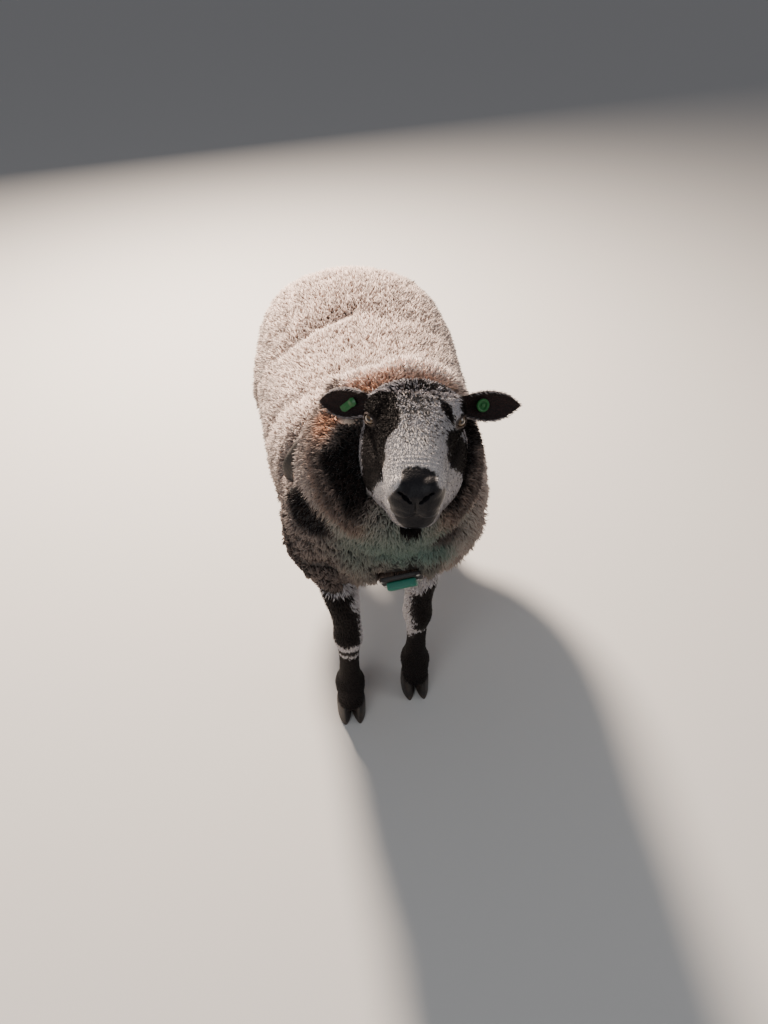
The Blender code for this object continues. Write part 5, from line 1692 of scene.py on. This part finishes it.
# Green stain, its colours also darkened as painted shade under the head.
stain_and_shade = nodes.mix(lift, (0.034, 0.058, 0.047), (0.16, 0.275, 0.232))
pale = nodes.mix(nodes.times(green, 0.85), pale, stain_and_shade)
rusty = nodes.mix(lift, (0.11, 0.036, 0.02), (0.62, 0.265, 0.12))
pale = nodes.mix(rust, pale, rusty)
deep = nodes.mix(nodes.times(lift, given["Chance"]), given["Dark"], given["Dark tip"])
nodes.fill(put_out, {"Color": nodes.mix(dark, pale, deep)})
print("group:", coat_colours.name, len(coat_colours.nodes), "nodes")

# %% [markdown]
# ### Fine fibre
# Short hair lies in strokes finer than any lock here. Noise that is squeezed across the lie
# and drawn out along it gives those strokes, as a mask and as a height for bump.

# %% Group: fine fibre
fine_fibre, nodes, given, put_out = new_group(
    "Fine fibre", {"Place": None, "Fineness": 900.0, "Stretch": 0.25}, ["Height", "Mask"])
long_way = nodes.add("CombineXYZ", {0: 1.0, 1: given["Stretch"], 2: given["Stretch"]}).outputs[0]
drawn_out = nodes.add("VectorMath", {0: given["Place"], 1: long_way}, operation="MULTIPLY").outputs[0]
fine = nodes.noise(drawn_out, given["Fineness"], Detail=3.0, Roughness=0.65)
broad = nodes.noise(given["Place"], 130.0, Detail=2.0)
nodes.fill(put_out, {"Height": nodes.plus(fine, nodes.times(broad, 0.5)), "Mask": nodes.ramp(fine, 0.38, 0.62)})
print("group:", fine_fibre.name)

# %% [markdown]
# ### Grime and wear
# What a ram wears and walks on is never clean. Cloudy patches of dust and small scuffs are
# one group, which the harness, the tags and the hooves each use with values of their own.

# %% Group: grime
grime, nodes, given, put_out = new_group(
    "Grime", {"Place": None, "Patch size": 40.0, "Amount": 0.5}, ["Dust", "Scuffs", "Height"])
cloud = nodes.noise(given["Place"], given["Patch size"], Detail=5.0, Roughness=0.6)
limit = nodes.math("SUBTRACT", 0.72, nodes.times(given["Amount"], 0.34))
over = nodes.math("SUBTRACT", cloud, limit)
speck = nodes.noise(given["Place"], 520.0, Detail=4.0, Distortion=0.6)
nodes.fill(put_out, {
    "Dust": nodes.math("MULTIPLY", over, 5.0, clamp=True),
    "Scuffs": nodes.times(nodes.ramp(speck, 0.56, 0.7), given["Amount"]),
    "Height": nodes.plus(speck, cloud)})
print("group:", grime.name)

# %% [markdown]
# ## Wool, hair and skin
# Wool scatters light and has no shine of its own, so it is rough, with a soft sheen at its
# edges. The dark short hair is glossier. The skin under both shows the same marks, and
# turns to bare leather on the muzzle, the lids and inside the ears.

# %% Materials of the coat
def lock_material(name, rough, sheen, pale, pale_root, specular):
    """Coat colours, with the height up the lock and its chance read from each corner."""
    material, nodes = new_material(name)
    marks, lock = nodes.kept("marks"), nodes.parts(nodes.kept("lock")["Color"])
    colours = nodes.use(coat_colours, {
        "Marks": marks["Color"], "Shade": marks["Alpha"], "Along": lock[0], "Chance": lock[1],
        "Pale": pale, "Pale root": pale_root})
    nodes.surface({"Base Color": colours[0], "Roughness": rough, "Specular IOR Level": specular,
                   "Sheen Weight": sheen, "Sheen Roughness": 0.45})
    return material


# The wool's dark root colour is painted shade deep between the locks, with some dust.
wool = lock_material("Wool", 0.94, 0.1, (0.96, 0.79, 0.7), (0.21, 0.138, 0.108), 0.06)
short_hair = lock_material("Short hair", 0.62, 0.02, (0.8, 0.78, 0.81), (0.34, 0.31, 0.32), 0.1)
finish_in(wool, coats)
finish_in(short_hair, furs)

# %% Material of the skin
skin_material, nodes = new_material("Skin and leather")
place, marks, masks = nodes.place(), nodes.kept("marks"), nodes.kept("masks")
leathery, lid, in_ear = nodes.parts(masks["Color"])
fibre = nodes.use(fine_fibre, {"Place": place, "Fineness": 1100.0, "Stretch": 0.3})
colours = nodes.use(coat_colours, {
    "Marks": marks["Color"], "Shade": marks["Alpha"], "Along": 0.55, "Chance": fibre["Mask"],
    "Pale": (0.84, 0.8, 0.77), "Pale root": (0.52, 0.46, 0.42)})
pebble = nodes.add("TexVoronoi", {"Vector": place, "Scale": 420.0, "Randomness": 0.9})
crack = nodes.ramp(pebble.outputs["Distance"], 0.05, 0.55)
leather = nodes.mix(crack, (0.004, 0.004, 0.005), (0.013, 0.012, 0.014))
lids = nodes.mix(fibre["Mask"], (0.016, 0.011, 0.01), (0.06, 0.042, 0.036))
lids = nodes.mix(masks["Alpha"], lids, (0.1, 0.074, 0.06))
cup = nodes.mix(fibre["Mask"], (0.012, 0.006, 0.006), (0.05, 0.02, 0.018))
made = nodes.mix(leathery, colours[0], leather)
made = nodes.mix(lid, made, lids)
made = nodes.mix(nodes.times(in_ear, 0.75), made, cup)
rough = nodes.plus(nodes.times(leathery, -0.28), 0.72)
hair_height = nodes.times(fibre["Height"], nodes.math("SUBTRACT", 1.0, leathery))
height = nodes.plus(hair_height, nodes.times(crack, leathery))
nodes.surface({"Base Color": made, "Roughness": rough, "Specular IOR Level": 0.2}, (0.45, 0.0006, height))
finish_in(skin_material, [skin_piece])
print("skin and coat finished")

# %% [markdown]
# ## Eye, horn and what the ram wears
# The iris is amber with radial streaks, darker at its rim; the pupil is a level slot with
# round ends. A clear coat over all of it gives the wet glint. Horn is brown-black with
# paler growth rings. Webbing is woven, so its threads are drawn from the place along and
# across the strap, which each corner keeps.

# %% Material of the eyes
eye_material, nodes = new_material("Amber eye")
axes = nodes.parts(nodes.kept("gaze")["Color"])
across, upward = (nodes.times(nodes.math("SUBTRACT", axes[k], 0.5), 2.0) for k in (1, 2))
level, rise = (nodes.math("ABSOLUTE", way) for way in (across, upward))
away = nodes.math("SQRT", nodes.plus(*(nodes.math("POWER", way, 2.0) for way in (level, rise))))
wide = nodes.math("POWER", nodes.math("DIVIDE", level, 0.4), 4.0)
tall = nodes.math("POWER", nodes.math("DIVIDE", rise, 0.135), 2.6)
pupil = nodes.ramp(nodes.plus(wide, tall), 1.12, 0.88)
angle = nodes.math("ARCTAN2", upward, across)
ray = nodes.add("CombineXYZ", {0: nodes.times(angle, 6.0), 1: nodes.times(away, 1.2)}).outputs[0]
streaks = nodes.noise(ray, 3.2, Detail=3.0)
iris = nodes.mix(nodes.ramp(streaks, 0.34, 0.68), (0.05, 0.026, 0.011), (0.2, 0.12, 0.05))
iris = nodes.mix(nodes.ramp(away, 0.52, 0.7), iris, (0.022, 0.012, 0.008))
white = nodes.mix(nodes.ramp(streaks, 0.4, 0.7), (0.1, 0.07, 0.058), (0.2, 0.15, 0.125))
made = nodes.mix(nodes.ramp(away, 0.74, 0.8), iris, white)
front = nodes.ramp(axes[0], 0.5, 0.55)
made = nodes.mix(front, white, made)
made = nodes.mix(nodes.times(pupil, front), made, (0.004, 0.004, 0.006))
nodes.surface({"Base Color": made, "Roughness": 0.22, "Coat Weight": 1.0, "Coat Roughness": 0.03})
finish_in(eye_material, eyes)

# %% Material of the hooves
horn, nodes = new_material("Horn")
place = nodes.place()
level = nodes.add("SeparateXYZ", {0: place}).outputs[2]
sway = nodes.times(nodes.noise(place, 60.0), 0.004)
ring = nodes.math("SINE", nodes.times(nodes.plus(level, sway), 1500.0))
dirt = nodes.use(grime, {"Place": place, "Patch size": 70.0, "Amount": 0.62})
wall = nodes.mix(nodes.ramp(ring, -0.8, 1.0), (0.01, 0.008, 0.007), (0.034, 0.026, 0.021))
low = nodes.times(nodes.ramp(level, 0.014, 0.001), 0.6)
wall = nodes.mix(nodes.math("MAXIMUM", low, dirt["Dust"]), wall, (0.075, 0.054, 0.04))
nodes.surface({"Base Color": wall, "Roughness": nodes.plus(nodes.times(dirt["Dust"], 0.3), 0.42)},
              (0.35, 0.0005, nodes.plus(ring, dirt["Height"])))
finish_in(horn, hooves)

# %% Material of the webbing
webbing, nodes = new_material("Webbing")
run, over = nodes.parts(nodes.kept("weave")["Color"])[:2]
threads = nodes.times(nodes.wave(run, 0.0026), nodes.wave(over, 0.003))
from_middle = nodes.math("ABSOLUTE", over)
border = nodes.ramp(from_middle, 0.0112, 0.0122)
from_seam = nodes.math("ABSOLUTE", nodes.math("SUBTRACT", from_middle, 0.0105))
stitch = nodes.times(nodes.ramp(from_seam, 0.0009, 0.0004), nodes.ramp(nodes.wave(run, 0.005), -0.2, 0.2))
dirt = nodes.use(grime, {"Place": nodes.place(), "Patch size": 34.0, "Amount": 0.7})
cloth = nodes.mix(nodes.ramp(threads, -0.9, 0.9), (0.034, 0.029, 0.025), (0.092, 0.078, 0.067))
cloth = nodes.mix(nodes.times(border, 0.75), cloth, (0.165, 0.145, 0.125))
cloth = nodes.mix(stitch, cloth, (0.15, 0.13, 0.11))
cloth = nodes.mix(nodes.times(dirt["Dust"], 0.35), cloth, (0.11, 0.088, 0.07))
height = nodes.plus(nodes.plus(threads, stitch), nodes.times(dirt["Height"], 0.4))
nodes.surface({"Base Color": cloth, "Roughness": 0.86}, (0.6, 0.0005, height))
finish_in(webbing, straps)

# %% [markdown]
# ### Moulded and worn things
# Plate, crayon, tags and metal differ in colour, gloss and grime only, so one recipe with
# named values makes all four: a base colour, dust over it in clouds, and scuffs that are
# lighter than the rest.

# %% Materials of plate, crayon, tags and metal
def worn_material(name, base, scuffed, dust, rough, metal, patch_size, amount, depth):
    """The base colour, the scuffs' colour in the scuffs, and dust over both, which dulls them."""
    material, nodes = new_material(name)
    dirt = nodes.use(grime, {"Place": nodes.place(), "Patch size": patch_size, "Amount": amount})
    made = nodes.mix(dirt["Scuffs"], base, scuffed)
    made = nodes.mix(nodes.times(dirt["Dust"], 0.6), made, dust)
    dull = nodes.plus(nodes.times(dirt["Dust"], 0.35), rough)
    nodes.surface({"Base Color": made, "Roughness": dull, "Metallic": metal}, (0.5, depth, dirt["Height"]))
    return material


WORN = (
    ("Plate", (0.014, 0.011, 0.011), (0.05, 0.04, 0.036), (0.075, 0.058, 0.046), 0.5, 0.0, 45.0, 0.55, 0.0004),
    ("Green wax", (0.008, 0.15, 0.1), (0.04, 0.27, 0.19), (0.045, 0.1, 0.072), 0.42, 0.0, 60.0, 0.6, 0.0012),
    ("Green tag", (0.02, 0.135, 0.034), (0.075, 0.24, 0.085), (0.08, 0.105, 0.05),
     0.36, 0.0, 110.0, 0.45, 0.0002),
    ("Steel", (0.42, 0.41, 0.39), (0.62, 0.6, 0.57), (0.14, 0.1, 0.075), 0.34, 1.0, 150.0, 0.6, 0.0002),
)
wearers = ([plate_piece, ring_piece], [crayon_piece], tags, [metal_piece])
for values, pieces in zip(WORN, wearers):
    finish_in(worn_material(*values), pieces)
print("materials:", len(bpy.data.materials))

# %% [markdown]
# ## Floor, light and camera
# A pale floor and a large soft light in front show the animal plainly. A warm light from
# behind catches the tips of the fleece, as low sun does. The camera stands where the
# picture was taken from: at a person's eye height, close in front, looking down.

# %% Stage
def pale_floor(reach=16.0):
    """Two triangles that reach this far each way."""
    corners = np.array(((-1, -1, 0), (1, -1, 0), (1, 1, 0), (-1, 1, 0))) * reach
    made = new_piece("floor", corners, np.array(((0, 1, 2), (0, 2, 3))), smooth=False)
    material, nodes = new_material("Pale floor")
    nodes.surface({"Base Color": (0.62, 0.61, 0.59), "Roughness": 0.9})
    finish_in(material, [made])
    made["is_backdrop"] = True


def soft_light(name, place, aim, size, power, tint):
    """A round lamp of this size, which shines from its place towards its aim."""
    lamp = bpy.data.lights.new(name, "AREA")
    lamp.shape = "DISK"
    lamp.size = size
    lamp.energy = power
    lamp.color = tint
    made = bpy.data.objects.new(name, lamp)
    made.location = place
    made.rotation_euler = (Vector(aim) - Vector(place)).to_track_quat("-Z", "Y").to_euler()
    scene.collection.objects.link(made)
    made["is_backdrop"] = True


pale_floor()
soft_light("front light", (-1.3, -2.4, 2.3), (0.0, -0.25, 0.55), 1.9, 23, (0.94, 0.97, 1.0))
soft_light("side light", (2.2, -0.9, 1.6), (0.0, 0.0, 0.5), 1.4, 10, (0.97, 0.98, 1.0))
soft_light("low sun", (-0.7, 2.3, 2.4), (0.0, -0.1, 0.7), 0.45, 470, (1.0, 0.83, 0.69))
world = bpy.data.worlds.new("studio")
world.use_nodes = True
Nodes(world.node_tree).fill(
    world.node_tree.nodes["Background"], {"Color": (0.9, 0.92, 1.0), "Strength": 0.2})
scene.world = world

FILM, PIXELS_HIGH, FOCAL_PIXELS = 36, 1024, 773
lens = bpy.data.cameras.new("camera")
lens.lens = FOCAL_PIXELS / PIXELS_HIGH * FILM
lens.sensor_width = FILM
camera = bpy.data.objects.new("camera", lens)
camera.location = (-0.125, -1.366, 1.5)
camera.rotation_euler = (math.radians(49), 0, math.radians(-6.77))
scene.collection.objects.link(camera)
scene.camera = camera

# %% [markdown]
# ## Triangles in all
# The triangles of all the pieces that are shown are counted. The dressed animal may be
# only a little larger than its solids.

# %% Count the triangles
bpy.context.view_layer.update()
total = sum(len(p.data.loop_triangles) or len(p.data.polygons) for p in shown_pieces() if p.type == "MESH")
print("triangles in all:", total)
